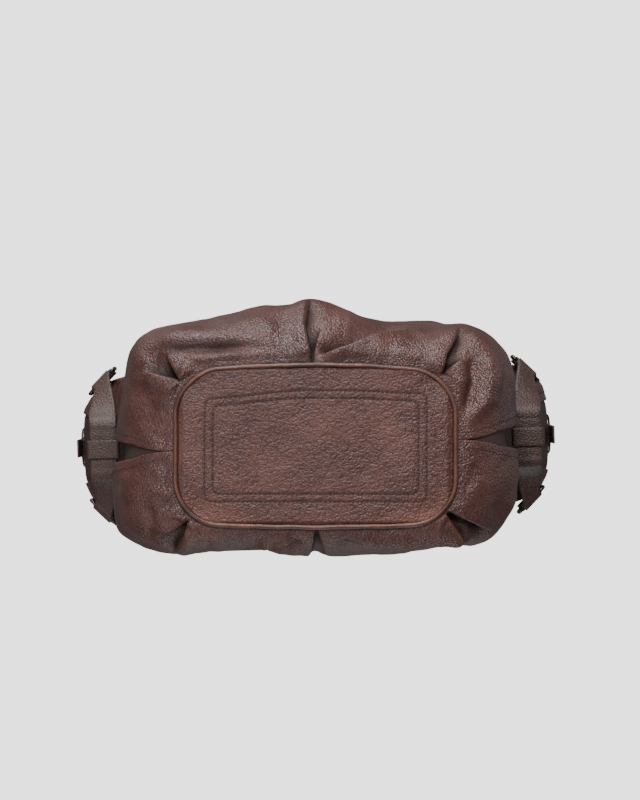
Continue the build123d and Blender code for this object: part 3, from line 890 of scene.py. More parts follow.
def along_line(points: np.ndarray, line: np.ndarray) -> tuple[np.ndarray, np.ndarray, np.ndarray]:
    """How points lie to a line in plan.

    Args:
        points: Points as (..., 2).
        line: The line's points as (n, 2).

    Returns:
        The signed distance, the share of the line's length at the nearest point, and
        the direction from the line towards its positive side.
    """
    best = np.full(points.shape[:-1], 1e9)
    share = np.zeros_like(best)
    sign = np.ones_like(best)
    away = np.zeros((*best.shape, 2))
    steps = np.linalg.norm(np.diff(line, axis=0), axis=1)
    done, total = 0.0, steps.sum()
    for start, end, step in zip(line, line[1:], steps):
        heading = (end - start) / step
        relative = points - start
        t = np.clip(relative @ heading, 0, step)
        offset = relative - t[..., None] * heading
        distance = np.linalg.norm(offset, axis=-1)
        nearer = distance < best
        side = np.sign(heading[0] * relative[..., 1] - heading[1] * relative[..., 0])
        best = np.where(nearer, distance, best)
        share = np.where(nearer, (done + t) / total, share)
        sign = np.where(nearer, np.where(side == 0, 1, side), sign)
        normal = np.array([-heading[1], heading[0]])
        away = np.where(nearer[..., None], normal, away)
        done += step
    return best * sign, share, away


FRONT_FOLDS = (
    # The tuck in the middle, an inverted pleat with two lips.
    Fold(((-3, -66), (-9.5, -97), (-8, -110), (-4, -121)), -1, lip=3.6, sink=6.0, dip_width=10.0,
         end_fade=0.2),
    Fold(((-2, -66), (1.5, -82), (5, -98)), 1, lip=2.4, sink=3.5, dip_width=8.0, end_fade=0.45),
    # The lap that runs from the tuck along the right half.
    Fold(((2, -72), (24, -78), (48, -86), (80, -97)), 1, lip=4.6, sink=8.0, dip_width=11.0,
         start_fade=0.12, end_fade=0.45, overlap=3.6, roundness=1.8),
    # The long roll over the left half.
    Fold(((-38, -81), (-70, -83), (-100, -82), (-128, -79)), 1, lip=3.4, sink=6.0, dip_width=7.0,
         start_fade=0.5, end_fade=0.2, overlap=3.4, roundness=3.0),
    # Two lips round the pocket at the left corner.
    Fold(((-108, -52), (-115, -64), (-122, -76)), 1, lip=2.6, sink=4.5, dip_width=15.0,
         end_fade=0.3, rubbed=0.35),
    Fold(((-109, -52), (-125, -56), (-141, -60)), -1, lip=3.4, sink=4.5, dip_width=13.0,
         end_fade=0.25, rubbed=0.2),
    # The creases of the right corner.
    Fold(((101, -56), (105, -74), (113, -87), (117, -97)), -1, lip=3.6, sink=6.5, dip_width=11.0,
         end_fade=0.25),
    Fold(((102, -57), (113, -66), (124, -72)), 1, lip=2.2, sink=3.0, dip_width=8.0, end_fade=0.4),
)
FRONT_SWELLS = (
    Swell(((-18, -93), (-60, -91), (-112, -89), (-142, -80), (-148, -56)), 4.0, 12.0, 0.15),
    Swell(((-34, -73), (-70, -73), (-97, -69), (-106, -61)), 2.4, 4.0),
    Swell(((-122, -68), (-131, -74)), -3.0, 9.0, 0.1),
    Swell(((-140, -55), (-134, -32), (-127, -10)), -2.4, 8.0),
    Swell(((12, -100), (34, -98)), 3.0, 12.0),
    Swell(((30, -74), (60, -78), (92, -78)), 2.6, 11.0),
    Swell(((120, -90), (139, -76), (143, -57), (138, -38), (124, -24)), 6.0, 9.0, 0.2),
    Swell(((126, -74), (129, -52), (125, -38), (119, -28)), -7.0, 6.0, 0.25),
    Swell(((152, -60), (158, -35), (158, -15)), -1.6, 7.0),
)
BACK_FOLDS = (
    # The tuck in the middle.
    Fold(((0, 66), (-2, 80), (-6, 94)), 1, lip=1.2, sink=2.8, dip_width=6.0, end_fade=0.3,
         overlap=1.6),
    Fold(((1.5, 66), (5, 80), (10, 94)), -1, lip=1.2, sink=2.8, dip_width=6.0, end_fade=0.3,
         overlap=1.6),
    # The left corner's crease and the lap above its pocket.
    Fold(((-102, 60), (-106, 76), (-116, 89)), -1, lip=3.2, sink=6.5, dip_width=10.0, end_fade=0.2),
    Fold(((-103, 60), (-111, 65), (-123, 70), (-131, 75)), 1, lip=2.6, sink=5.5, dip_width=8.0,
         end_fade=0.45),
    # The small triangular lap left of the middle.
    Fold(((-60, 86), (-38, 81), (-10, 75)), -1, lip=2.2, sink=5.0, dip_width=7.0, start_fade=0.4,
         end_fade=0.3),
    # The long lap over the right half, and the right corner's creases.
    Fold(((14, 73), (44, 77), (76, 79), (112, 77.5), (130, 77)), -1, lip=3.6, sink=8.0,
         dip_width=8.0, lip_width=8.0, start_fade=0.3, end_fade=0.12, roundness=1.8),
    Fold(((104, 54), (112, 68), (120, 77)), 1, lip=2.8, sink=5.5, dip_width=10.0, end_fade=0.2,
         rubbed=1.0),
    Fold(((106, 52), (127, 61), (146, 71)), -1, lip=3.4, sink=6.5, dip_width=11.0, end_fade=0.35),
)
BACK_SWELLS = (
    Swell(((-136, 46), (-132, 64), (-134, 80)), -2.4, 6.0),
    Swell(((118, 63), (126, 70)), 3.0, 6.0, 0.2),
    Swell(((149, 44), (151, 66)), -2.6, 7.0),
    Swell(((-150, 20), (-154, 48)), 2.0, 10.0),
    Swell(((-90, 80), (-60, 78)), 2.0, 7.0),
    Swell(((40, 86), (90, 86)), 2.2, 6.0),
)


@dataclass
class BodyForm:
    """The bag's outline at every height, in millimetres, worked out from the frame."""

    seam_height: float = 3.2
    widest_height: float = 76.0
    waist_height: float = 128.0
    top_height: float = 215.0
    rim_height: float = 250.0
    mouth_dip: float = 205.0
    mouth_end: float = 241.0
    half_length: float = 207.0
    low_height: float = 21.0
    gap_at_seam: float = 0.9
    gap_at_low: float = 7.6
    gap_at_widest: float = 12.0
    gap_at_waist: float = 14.0
    gap_at_top: float = 31.0

    def __post_init__(self) -> None:
        """Draws the five outlines that the body runs through."""
        low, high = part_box("base_piping")
        half = (high - low) / 2 / MM
        seam = bowed(rounded_rectangle(half.x - 0.6, half.y - 0.6, 36.0, 1600))
        self.seam = Outline(seam, [(-3, -half.y), (half.x, -5), (0, half.y), (-half.x, 4)])
        widest = spline(np.array([
            (-4, -121), (8, -118.5), (24, -112), (43, -105.5), (68, -101), (96, -98.5), (119, -99),
            (134, -95.5), (147, -87), (157, -77), (163.5, -63), (166, -40), (167, -6), (167.5, 24),
            (166, 44), (162.5, 56), (156, 66.5), (146, 77), (130, 83.5), (100, 87.5), (66, 90),
            (34, 91), (10, 92), (0, 89.5), (-8, 92), (-29, 91), (-53, 86.5), (-76, 87.5),
            (-100, 90), (-124, 90), (-146, 83), (-160, 74), (-166, 60), (-168, 35), (-167, 6),
            (-163, -28), (-159, -52), (-156, -67), (-150, -80), (-139, -90), (-123, -96),
            (-100, -100), (-77, -106), (-50, -113.5), (-27, -115), (-14, -118),
        ]), 1600, closed=True)
        self.widest = Outline(widest, [(-4, -121), (167, -6), (0, 90), (-167, 6)])
        self.waist = self._turned(162, 92, 70, -9)
        self.top = self._turned(self.half_length, 54, 34, 0)
        self.rim = self._turned(self.half_length, 50, 36, 0)

    def _turned(self, half_x: float, half_y: float, corner: float, middle: float) -> Outline:
        """A rounded rectangle turned with the settled bag.

        Args:
            half_x: Half its length.
            half_y: Half its width.
            corner: The radius of its corners.
            middle: How far back its middle lies.

        Returns:
            The outline.
        """
        flat = rounded_rectangle(half_x, half_y, corner, 1600) + (0, middle)
        points = twisted(np.hstack([flat, np.zeros((len(flat), 1))]))[:, :2]
        anchors = np.array([(0, middle - half_y, 0), (half_x, 0, 0), (0, middle + half_y, 0),
                            (-half_x, 0, 0)], float)
        return Outline(points, [tuple(a[:2]) for a in twisted(anchors)])

    def mouth_height(self, x: np.ndarray) -> np.ndarray:
        """The height of the mouth's edge at a distance along the bag.

        Args:
            x: Distances along the bag from its middle.

        Returns:
            The heights.
        """
        rise = self.mouth_end - self.mouth_dip
        radius = (self.half_length**2 + rise**2) / (2 * rise)
        return self.mouth_dip + radius - np.sqrt(np.maximum(radius**2 - x**2, 0))

    def gap(self, height: np.ndarray) -> np.ndarray:
        """Half the width of the V between the panels, at a height.

        Args:
            height: Heights above the ground.

        Returns:
            Half the width at each height.
        """
        heights = (self.seam_height, self.low_height, self.widest_height, self.waist_height,
                   self.top_height)
        gaps = (self.gap_at_seam, self.gap_at_low, self.gap_at_widest, self.gap_at_waist,
                self.gap_at_top)
        return np.interp(height, heights, gaps)

    def upper(self, place: np.ndarray, height: np.ndarray) -> np.ndarray:
        """The outline's points in plan, at heights above the widest line.

        Args:
            place: Places in quarters.
            height: The height at each place.

        Returns:
            The points in plan.
        """
        to_waist = smoothstep((height - self.widest_height) / (self.waist_height - self.widest_height))
        climb = np.clip((height - self.waist_height) / (self.top_height - self.waist_height), 0, 1)
        to_top = climb - 0.85 * climb * (1 - climb) ** 3
        to_rim = np.clip((height - self.top_height) / (self.rim_height - self.top_height), 0, 1)
        plan = lerp(self.widest.at(place), self.waist.at(place), to_waist[..., None])
        plan = lerp(plan, self.top.at(place), to_top[..., None])
        return lerp(plan, self.rim.at(place), to_rim[..., None])

    def under(self, place: np.ndarray, share: np.ndarray) -> tuple[np.ndarray, np.ndarray]:
        """The belly under the widest line: points in plan and heights, at shares of a quarter turn.

        Args:
            place: Places in quarters.
            share: The share of the quarter turn at each place.

        Returns:
            The points in plan, and their heights.
        """
        turn = share * math.pi / 2
        plan = lerp(self.seam.at(place), self.widest.at(place), np.sin(turn)[..., None])
        height = self.seam_height + (self.widest_height - self.seam_height) * (1 - np.cos(turn))
        return plan, height

    def surface(self, place: np.ndarray, rows_under: int, rows_upper: int, dip: float = 0.0) -> np.ndarray:
        """The undisturbed surface from the seam to the mouth, as (rows, columns, 3).

        Args:
            place: Each row's places in quarters, as (rows_under + rows_upper, columns).
            rows_under: How many rows lie under the widest line.
            rows_upper: How many rows lie above it.
            dip: How far below the mouth's edge the last row is.

        Returns:
            The points.
        """
        share = np.linspace(0, 1, rows_under)[:, None] * np.ones(place.shape[1])
        plan, height = self.under(place[:rows_under], share)
        lower = np.concatenate([plan, height[..., None]], axis=-1)
        upper_place = place[rows_under:]
        edge = self.mouth_height(self.top.at(upper_place)[..., 0]) - dip
        climb = (np.arange(1, rows_upper + 1) / rows_upper)[:, None]
        height = self.widest_height + (edge - self.widest_height) * climb
        upper = np.concatenate([self.upper(upper_place, height), height[..., None]], axis=-1)
        return np.concatenate([lower, upper], axis=0)


@dataclass
class BodyPanels:
    """The front and back panels: gathered at the base seam, with pleats at the corners."""

    form: BodyForm
    columns: int = 470
    rows_under: int = 96
    rows_upper: int = 92
    hem_columns: int = 5
    leather: float = 1.8
    belly_top: float = 84.0
    belly_fade: float = 34.0
    upper_start: float = 110.0
    upper_fade: float = 45.0
    deepest: float = -8.5
    flattest: float = -0.2
    edge_columns: float = 16.0
    lowest: float = 0.6

    def build(self) -> None:
        """Builds both panels and the topstitching along their edges."""
        for name, first, folds, swells, seed in (
            ("front_leather", -1.0, FRONT_FOLDS, FRONT_SWELLS, 3),
            ("back_leather", 1.0, BACK_FOLDS, BACK_SWELLS, 11),
        ):
            self.panel(name, first, folds, swells, seed)

    def panel(self, name: str, first: float, folds: tuple, swells: tuple, seed: int) -> None:
        """Builds one panel.

        Args:
            name: The piece's name.
            first: The quarter where it starts: -1 for the front, 1 for the back.
            folds: Its creases.
            swells: Its soft ridges and valleys.
            seed: Chooses its small wrinkles.
        """
        form = self.form
        rows = self.rows_under + self.rows_upper
        share = np.linspace(0, 1, self.columns)[None] * np.ones((rows, 1))
        even = form.surface(first + 2 * share, self.rows_under, self.rows_upper)
        inset = form.gap(even[:, :1, 2]) / form.widest.quarter_length()
        place = first + inset + (2 - 2 * inset) * share
        grid = form.surface(place, self.rows_under, self.rows_upper)
        normal = normals_of(grid)
        outward = grid[..., :2] - (0, -6)
        normal *= np.sign(np.sum(normal[..., :2] * outward, axis=-1) - normal[..., 2] * 1e-3)[..., None]
        shaped, wear_and_shade = self.folded(grid, normal, folds, swells, seed)
        normal = normals_of(shaped)
        if np.mean(np.sum(normal[..., :2] * outward, axis=-1)) < 0:
            normal = -normal
        closed = self.hemmed(shaped, normal)
        count = closed.shape[1]
        faces = grid_faces(closed.shape[0], count)
        if first < 0:
            faces = faces[:, ::-1]
        piece = new_piece(name, closed.reshape(-1, 3), faces[:, ::-1])
        wear_and_shade = np.pad(wear_and_shade, ((0, closed.shape[0] - wear_and_shade.shape[0]), (self.hem_columns,) * 2, (0, 0)),
                     mode="edge")
        # Wear, and the painted shade of the fold valleys and the base seam.
        paint(piece, "wear", wear_and_shade[..., 0])
        paint(piece, "painted_shade", wear_and_shade[..., 1])
        node = name.replace("leather", "panel")
        dress(piece, Leather.BODY.value, BAG, node)
        for number, column in enumerate((7, self.columns - 8)):
            line = shaped[4:, column] + normal[4:, column] * 0.1
            row = stitches(f"{name}_stitches_{number}", line, normal[4:, column], pitch=4.0, thickness=0.75)
            dress(row, Other.THREAD.value, BAG)

    def folded(self, grid: np.ndarray, normal: np.ndarray, folds: tuple, swells: tuple,
               seed: int) -> tuple[np.ndarray, np.ndarray]:
        """Pleats, puffs and wrinkles the surface.

        Args:
            grid: The undisturbed points.
            normal: Their outward normals.
            folds: The panel's creases.
            swells: Its soft ridges and valleys.
            seed: Chooses its small wrinkles.

        Returns:
            The new points, and how worn each one is and how much painted shade it gets.
        """
        plan = grid[..., :2]
        from_seam = np.linalg.norm(plan - plan[:1], axis=-1)
        belly = 1 - smoothstep((grid[..., 2] - self.belly_top) / self.belly_fade)
        belly[: self.rows_under] = 1
        flat = self.over_pocket(grid)
        belly *= 1 - flat
        out = np.zeros(grid.shape[:2])
        slide = np.zeros((*grid.shape[:2], 2))
        wear, painted_shade = np.zeros(grid.shape[:2]), np.zeros(grid.shape[:2])
        start = smoothstep(from_seam / 10)
        for swell in swells:
            distance, share, _ = along_line(plan, np.array(swell.line, float))
            ends = smoothstep(share / swell.fade) * smoothstep((1 - share) / swell.fade)
            ends = 0.35 + 0.65 * ends
            out += swell.height * np.exp(-((distance / swell.width) ** 2)) * belly * ends
        for fold in folds:
            distance, share, away = along_line(plan, np.array(fold.line, float))
            distance = distance * fold.lip_side
            away = away * fold.lip_side
            ends = smoothstep(share / fold.start_fade) * smoothstep((1 - share) / fold.end_fade + 0.001)
            ends = np.where((share <= 0) | (share >= 1), ends * 0.0, ends)
            near = ends * belly
            above = np.clip(distance, 0, None)
            below = np.clip(-distance, 0, None)
            over = smoothstep((distance / fold.roundness + 1) / 2)
            out += near * fold.lip * over * np.exp(-((above / fold.lip_width) ** 2))
            out -= near * fold.sink * (1 - over) * np.exp(-((below / fold.dip_width) ** 2))
            push = fold.overlap * over * np.exp(-((above / 3.5) ** 2))
            slide -= away * (near * push)[..., None]
            wear += near * fold.rubbed * over * np.exp(-((above / 1.8) ** 2))
            # Painted shade in each fold's valley, under the lip.
            painted_shade += 0.9 * near * (1 - over) * np.exp(-((below / (0.55 * fold.dip_width)) ** 2))
        out, slide = blurred(out, 2), blurred(slide, 2)
        gathers = ripple(np.stack([plan[..., 0], plan[..., 1]], axis=-1), 13, seed)
        out += 0.55 * gathers * np.exp(-from_seam / 22) * belly
        soft = ripple(grid, 46, seed + 1)
        small = ripple(grid, 17, seed + 2)
        out += (0.8 * soft + 0.25 * small) * smoothstep((grid[-1:, :, 2] - grid[..., 2]) / 30)
        upper = smoothstep((grid[..., 2] - self.upper_start) / self.upper_fade)
        out += upper * smoothstep((grid[-1:, :, 2] - grid[..., 2]) / 30) * self.drapes(grid, seed)
        out = np.maximum(out, lerp(self.deepest, self.flattest, np.maximum(upper, flat)))
        out += self.drawn_out(grid, normal)
        column = np.arange(grid.shape[1])
        near_edge = np.minimum(column, column[::-1])
        out *= 0.25 + 0.75 * smoothstep(near_edge / self.edge_columns)
        out *= start
        shaped = grid + normal * out[..., None]
        shaped[..., :2] += slide * start[..., None]
        shaped[..., 2] = np.maximum(shaped[..., 2], self.lowest)
        # Painted shade in a thin line along the base seam.
        painted_shade += 0.55 * np.exp(-((from_seam / 1.6) ** 2))
        return shaped, np.stack([wear, painted_shade], axis=-1).clip(0, 1)

    def over_pocket(self, grid: np.ndarray) -> np.ndarray:
        """How far the leather is held flat by the zip pocket that hangs against the back.

        Args:
            grid: The undisturbed points.

        Returns:
            A share from 0 to 1 for each point.
        """
        low, high = (np.array(corner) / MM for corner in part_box("zip_pocket_bag"))
        beside = np.maximum(low[0] - grid[..., 0], grid[..., 0] - high[0])
        level = smoothstep((grid[..., 2] - low[2] + 12) / 10)
        return level * (1 - smoothstep((beside - 4) / 20)) * (grid[..., 1] > 0)

    def drapes(self, grid: np.ndarray, seed: int) -> np.ndarray:
        """Soft upright folds that hang from the mouth and the chapes.

        Args:
            grid: The undisturbed points.
            seed: Chooses the pattern.

        Returns:
            How far out each point is moved.
        """
        angle = np.arctan2(grid[..., 1] * 2.2, grid[..., 0])
        around = np.stack([np.cos(angle), np.sin(angle)], axis=-1) * 90
        wide = ripple(around, 60, seed + 5)
        return 0.9 + 1.6 * wide + 0.7 * ripple(around, 22, seed + 6)

    def drawn_out(self, grid: np.ndarray, normal: np.ndarray) -> np.ndarray:
        """How far the leather is drawn out to lie behind each ring's chape.

        Args:
            grid: The undisturbed points.
            normal: Their outward normals.

        Returns:
            How far out each point is moved.
        """
        total = np.zeros(grid.shape[:2])
        for joint in frame["joints"]:
            if not joint["name"].endswith("_ring_swing"):
                continue
            bar = unit(np.array(joint["axis"], float))
            out = np.array([-bar[1], bar[0], 0.0])
            middle = np.array(joint["pos_m"]) / MM
            out *= np.sign(out @ middle)
            back = middle + np.array([0, 0, 18.0]) - out * 1.9
            away = np.linalg.norm(grid - back, axis=-1)
            nearest = np.unravel_index(np.argmin(away), away.shape)
            if away[nearest] > 25:
                continue
            reach = (back - grid[nearest]) @ out / max(float(normal[nearest] @ out), 0.5)
            total += reach * np.exp(-((away / 27) ** 2))
        return total

    def hemmed(self, shaped: np.ndarray, normal: np.ndarray) -> np.ndarray:
        """Turns the panel's side edges and its mouth edge over to the inside.

        Args:
            shaped: The panel's points.
            normal: Their outward normals.

        Returns:
            The points with the turned edges added all round but at the seam.
        """
        inward = -normal
        radius = self.leather / 2
        sides = []
        for column, nearer in ((0, 1), (-1, -2)):
            edge, out = shaped[:, column], unit(shaped[:, column] - shaped[:, nearer])
            turned = []
            for step in range(1, self.hem_columns + 1):
                turn = min(step / 3, 1) * math.pi
                back = max(step - 3, 0) * 4.0
                turned.append(
                    edge + out * (radius * math.sin(turn) - back)
                    + inward[:, column] * radius * (1 - math.cos(turn))
                )
            sides.append(np.stack(turned, axis=1))
        whole = np.concatenate([sides[0][:, ::-1], shaped, sides[1]], axis=1)
        across = normals_of(whole)
        outward = np.pad(normal, ((0, 0), (self.hem_columns,) * 2, (0, 0)), mode="edge")
        if np.mean(np.sum(across * outward, axis=-1)) < 0:
            across = -across
        top, below = whole[-1], whole[-2]
        up = unit(top - below)
        rows = [top + up * radius * math.sin(turn) - across[-2] * radius * (1 - math.cos(turn))
                for turn in (1.05, 2.1, math.pi)]
        rows.append(rows[-1] - up * 5.0)
        return np.concatenate([whole, np.stack(rows)], axis=0)


@dataclass
class Gussets:
    """The leather at both ends that shows in the V between the panels."""

    form: BodyForm
    inset: float = 2.2
    sag: float = 6.5
    seam: float = 9.0
    rows_under: int = 46
    rows_upper: int = 60
    columns: int = 34

    def build(self) -> None:
        """Builds the left and the right gusset."""
        form = self.form
        for name, middle in (("right_gusset", 1.0), ("left_gusset", 3.0)):
            rows = self.rows_under + self.rows_upper
            share = np.linspace(-1, 1, self.columns)[None] * np.ones((rows, 1))
            even = form.surface(middle + 0 * share, self.rows_under, self.rows_upper)
            half = (form.gap(even[:, :1, 2]) + self.seam) / form.widest.quarter_length()
            grid = form.surface(middle + share * half, self.rows_under, self.rows_upper)
            normal = normals_of(grid)
            outward = 1 if name.startswith("right") else -1
            if np.mean(normal[..., 0]) * outward < 0:
                normal = -normal
            slack = smoothstep((grid[..., 2] - 14) / 50) * smoothstep((188 - grid[..., 2]) / 45)
            sag = (1.5 + self.sag * (1 - share**2) + 0.8 * ripple(grid, 26, 21)) * slack
            shaped = grid - normal * (self.inset + sag)[..., None]
            faces = grid_faces(rows, self.columns)
            piece = new_piece(f"{name}_leather", shaped.reshape(-1, 3), faces)
            paint(piece, "wear", np.zeros(shaped.shape[:2]))
            # Painted shade, even over the whole gusset, which lies recessed in the V.
            paint(piece, "painted_shade", np.full(shaped.shape[:2], 0.3))
            shell = piece.modifiers.new("leather", "SOLIDIFY")
            shell.thickness = 0.8 * MM
            shell.offset = 0
            finish_modifiers(piece)
            dress(piece, Leather.GUSSET.value, BAG, name)


@dataclass
class Base:
    """The base panel with its double stitching, and the piping round it; the panel lies flat over the board.
    """

    rings: int = 96
    columns: int = 460
    outer_half: tuple[float, float] = (89.0, 44.5)
    inner_half: tuple[float, float] = (82.5, 38.4)
    row_corner: float = 5.0
    lift: float = 0.95

    def height(self, plan: np.ndarray) -> np.ndarray:
        """The underside's height above the ground at points in plan.

        Args:
            plan: Points as (..., 2), in millimetres.

        Returns:
            The height of each point.
        """
        half = (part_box("base_panel")[1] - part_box("base_panel")[0]) / 2 / MM
        edge = np.maximum(np.abs(plan[..., 0]) / half.x, np.abs(plan[..., 1]) / half.y)
        z = self.lift + 0.2 * ripple(plan, 62, 31) + 0.09 * ripple(plan * (0.45, 1.0), 11, 32)
        z += 1.6 * smoothstep((edge - 0.955) / 0.045)
        for rows in (self.outer_half, self.inner_half):
            line = self.pulled(rounded_rectangle(*rows, self.row_corner, 400))
            distance = np.abs(along_line(plan, np.vstack([line, line[:1]]))[0])
            z += 0.45 * np.exp(-((distance / 1.0) ** 2))
        for x, y in ((-1, -1), (1, -1), (-1, 1), (1, 1)):
            corner = np.array([x * (half.x - 16), y * (half.y - 14)])
            z += 1.6 * np.exp(-(np.linalg.norm(plan - corner, axis=-1) / 10) ** 2)
        over_board = np.maximum(np.abs(plan[..., 0]) / 95, np.abs(plan[..., 1]) / 49) < 1
        return np.where(over_board, np.minimum(z, 2.05), z)

    def pulled(self, plan: np.ndarray) -> np.ndarray:
        """Points of the stitching, where the leather has crept in at the front left corner.

        Args:
            plan: Points as (n, 2), in millimetres.

        Returns:
            The moved points.
        """
        creep = 6.5 * smoothstep((-plan[:, 0] - 5) / 85) + 2.5 * smoothstep((plan[:, 0] - 20) / 70)
        creep *= smoothstep((-plan[:, 1] - 5) / 40)
        return plan + np.stack([0.1 * creep, creep], axis=1)

    def build(self) -> None:
        """Builds the panel, its stitches and the piping."""
        half = (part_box("base_panel")[1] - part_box("base_panel")[0]) / 2 / MM
        outline = bowed(rounded_rectangle(half.x + 0.3, half.y + 0.3, 32.0, self.columns))
        shares = np.linspace(0, 1, self.rings)[1:]
        plan = outline[None] * shares[:, None, None]
        z = self.height(plan)
        top = np.concatenate([plan, z[..., None]], axis=-1)
        rim = np.concatenate([outline, np.full((self.columns, 1), 4.0)], axis=1)[None]
        grid = np.concatenate([top, rim], axis=0)
        points = np.vstack([grid.reshape(-1, 3), [(0, 0, float(self.height(np.zeros((1, 2)))[0]))]])
        faces = [list(f) for f in grid_faces(len(grid), self.columns, closed=True)]
        centre = len(points) - 1
        faces += [[centre, (j + 1) % self.columns, j] for j in range(self.columns)]
        piece = new_piece("base_leather", points, faces)
        only(piece)
        bpy.ops.object.mode_set(mode="EDIT")
        bpy.ops.mesh.select_all(action="SELECT")
        bpy.ops.mesh.normals_make_consistent(inside=False)
        bpy.ops.object.mode_set(mode="OBJECT")
        # Painted shade in the grooves of the two stitch rows.
        painted_shade = np.zeros(len(points))
        for rows in (self.outer_half, self.inner_half):
            line = self.pulled(rounded_rectangle(*rows, self.row_corner, 400))
            distance = np.abs(along_line(points[:, :2], np.vstack([line, line[:1]]))[0])
            painted_shade += 0.35 * np.exp(-((distance / 0.9) ** 2))
        paint(piece, "painted_shade", painted_shade)
        edge = np.clip((np.linalg.norm(points[:, :2] / (half.x, half.y), axis=1) - 0.9) / 0.35, 0, 1)
        lower = smoothstep((points[:, 1] - 20) / 45)
        wear = 0.4 * edge * lower
        paint(piece, "wear", wear)
        dress(piece, Leather.BASE.value, BAG, "base_panel")
        for number, rows in enumerate((self.outer_half, self.inner_half)):
            line = self.pulled(rounded_rectangle(*rows, self.row_corner, 800))
            path = np.concatenate([line, self.height(line)[:, None] - 0.3], axis=1)
            down = np.broadcast_to(np.array([0.0, 0.0, -1.0]), path.shape)
            row = stitches(f"base_stitches_{number}", path, down, pitch=3.7, thickness=0.75, closed=True)
            dress(row, Other.THREAD.value, BAG)
        self.piping()

    def piping(self) -> None:
        """Builds the corded piping, rubbed pale along its crown."""
        low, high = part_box("base_piping")
        half = (high - low) / 2 / MM
        radius = 1.95
        line = bowed(rounded_rectangle(half.x - radius, half.y - radius, 34.0, 900))
        wobble = 0.22 * ripple(line, 40, 41)
        outward = unit(line / (half.x, half.y))
        line = line + outward * wobble[:, None]
        swell = radius * (1 + 0.04 * ripple(line, 16, 42))
        height = swell + 0.15
        centres = np.concatenate([line, height[:, None]], axis=1)
        sides = 18
        piece = tube("piping_leather", centres, swell, sides=sides)
        turn = np.linspace(0, 2 * math.pi, sides, endpoint=False)
        crown = np.exp(-((np.mod(turn - 1.5 * math.pi + math.pi, 2 * math.pi) - math.pi) / 0.75) ** 2)
        patchy = np.clip(0.85 + 0.55 * ripple(line, 34, 43), 0.15, 1.6)
        paint(piece, "wear", 0.4 * crown[None] * patchy[:, None])
        dress(piece, Leather.PIPING.value, BAG, "base_piping")


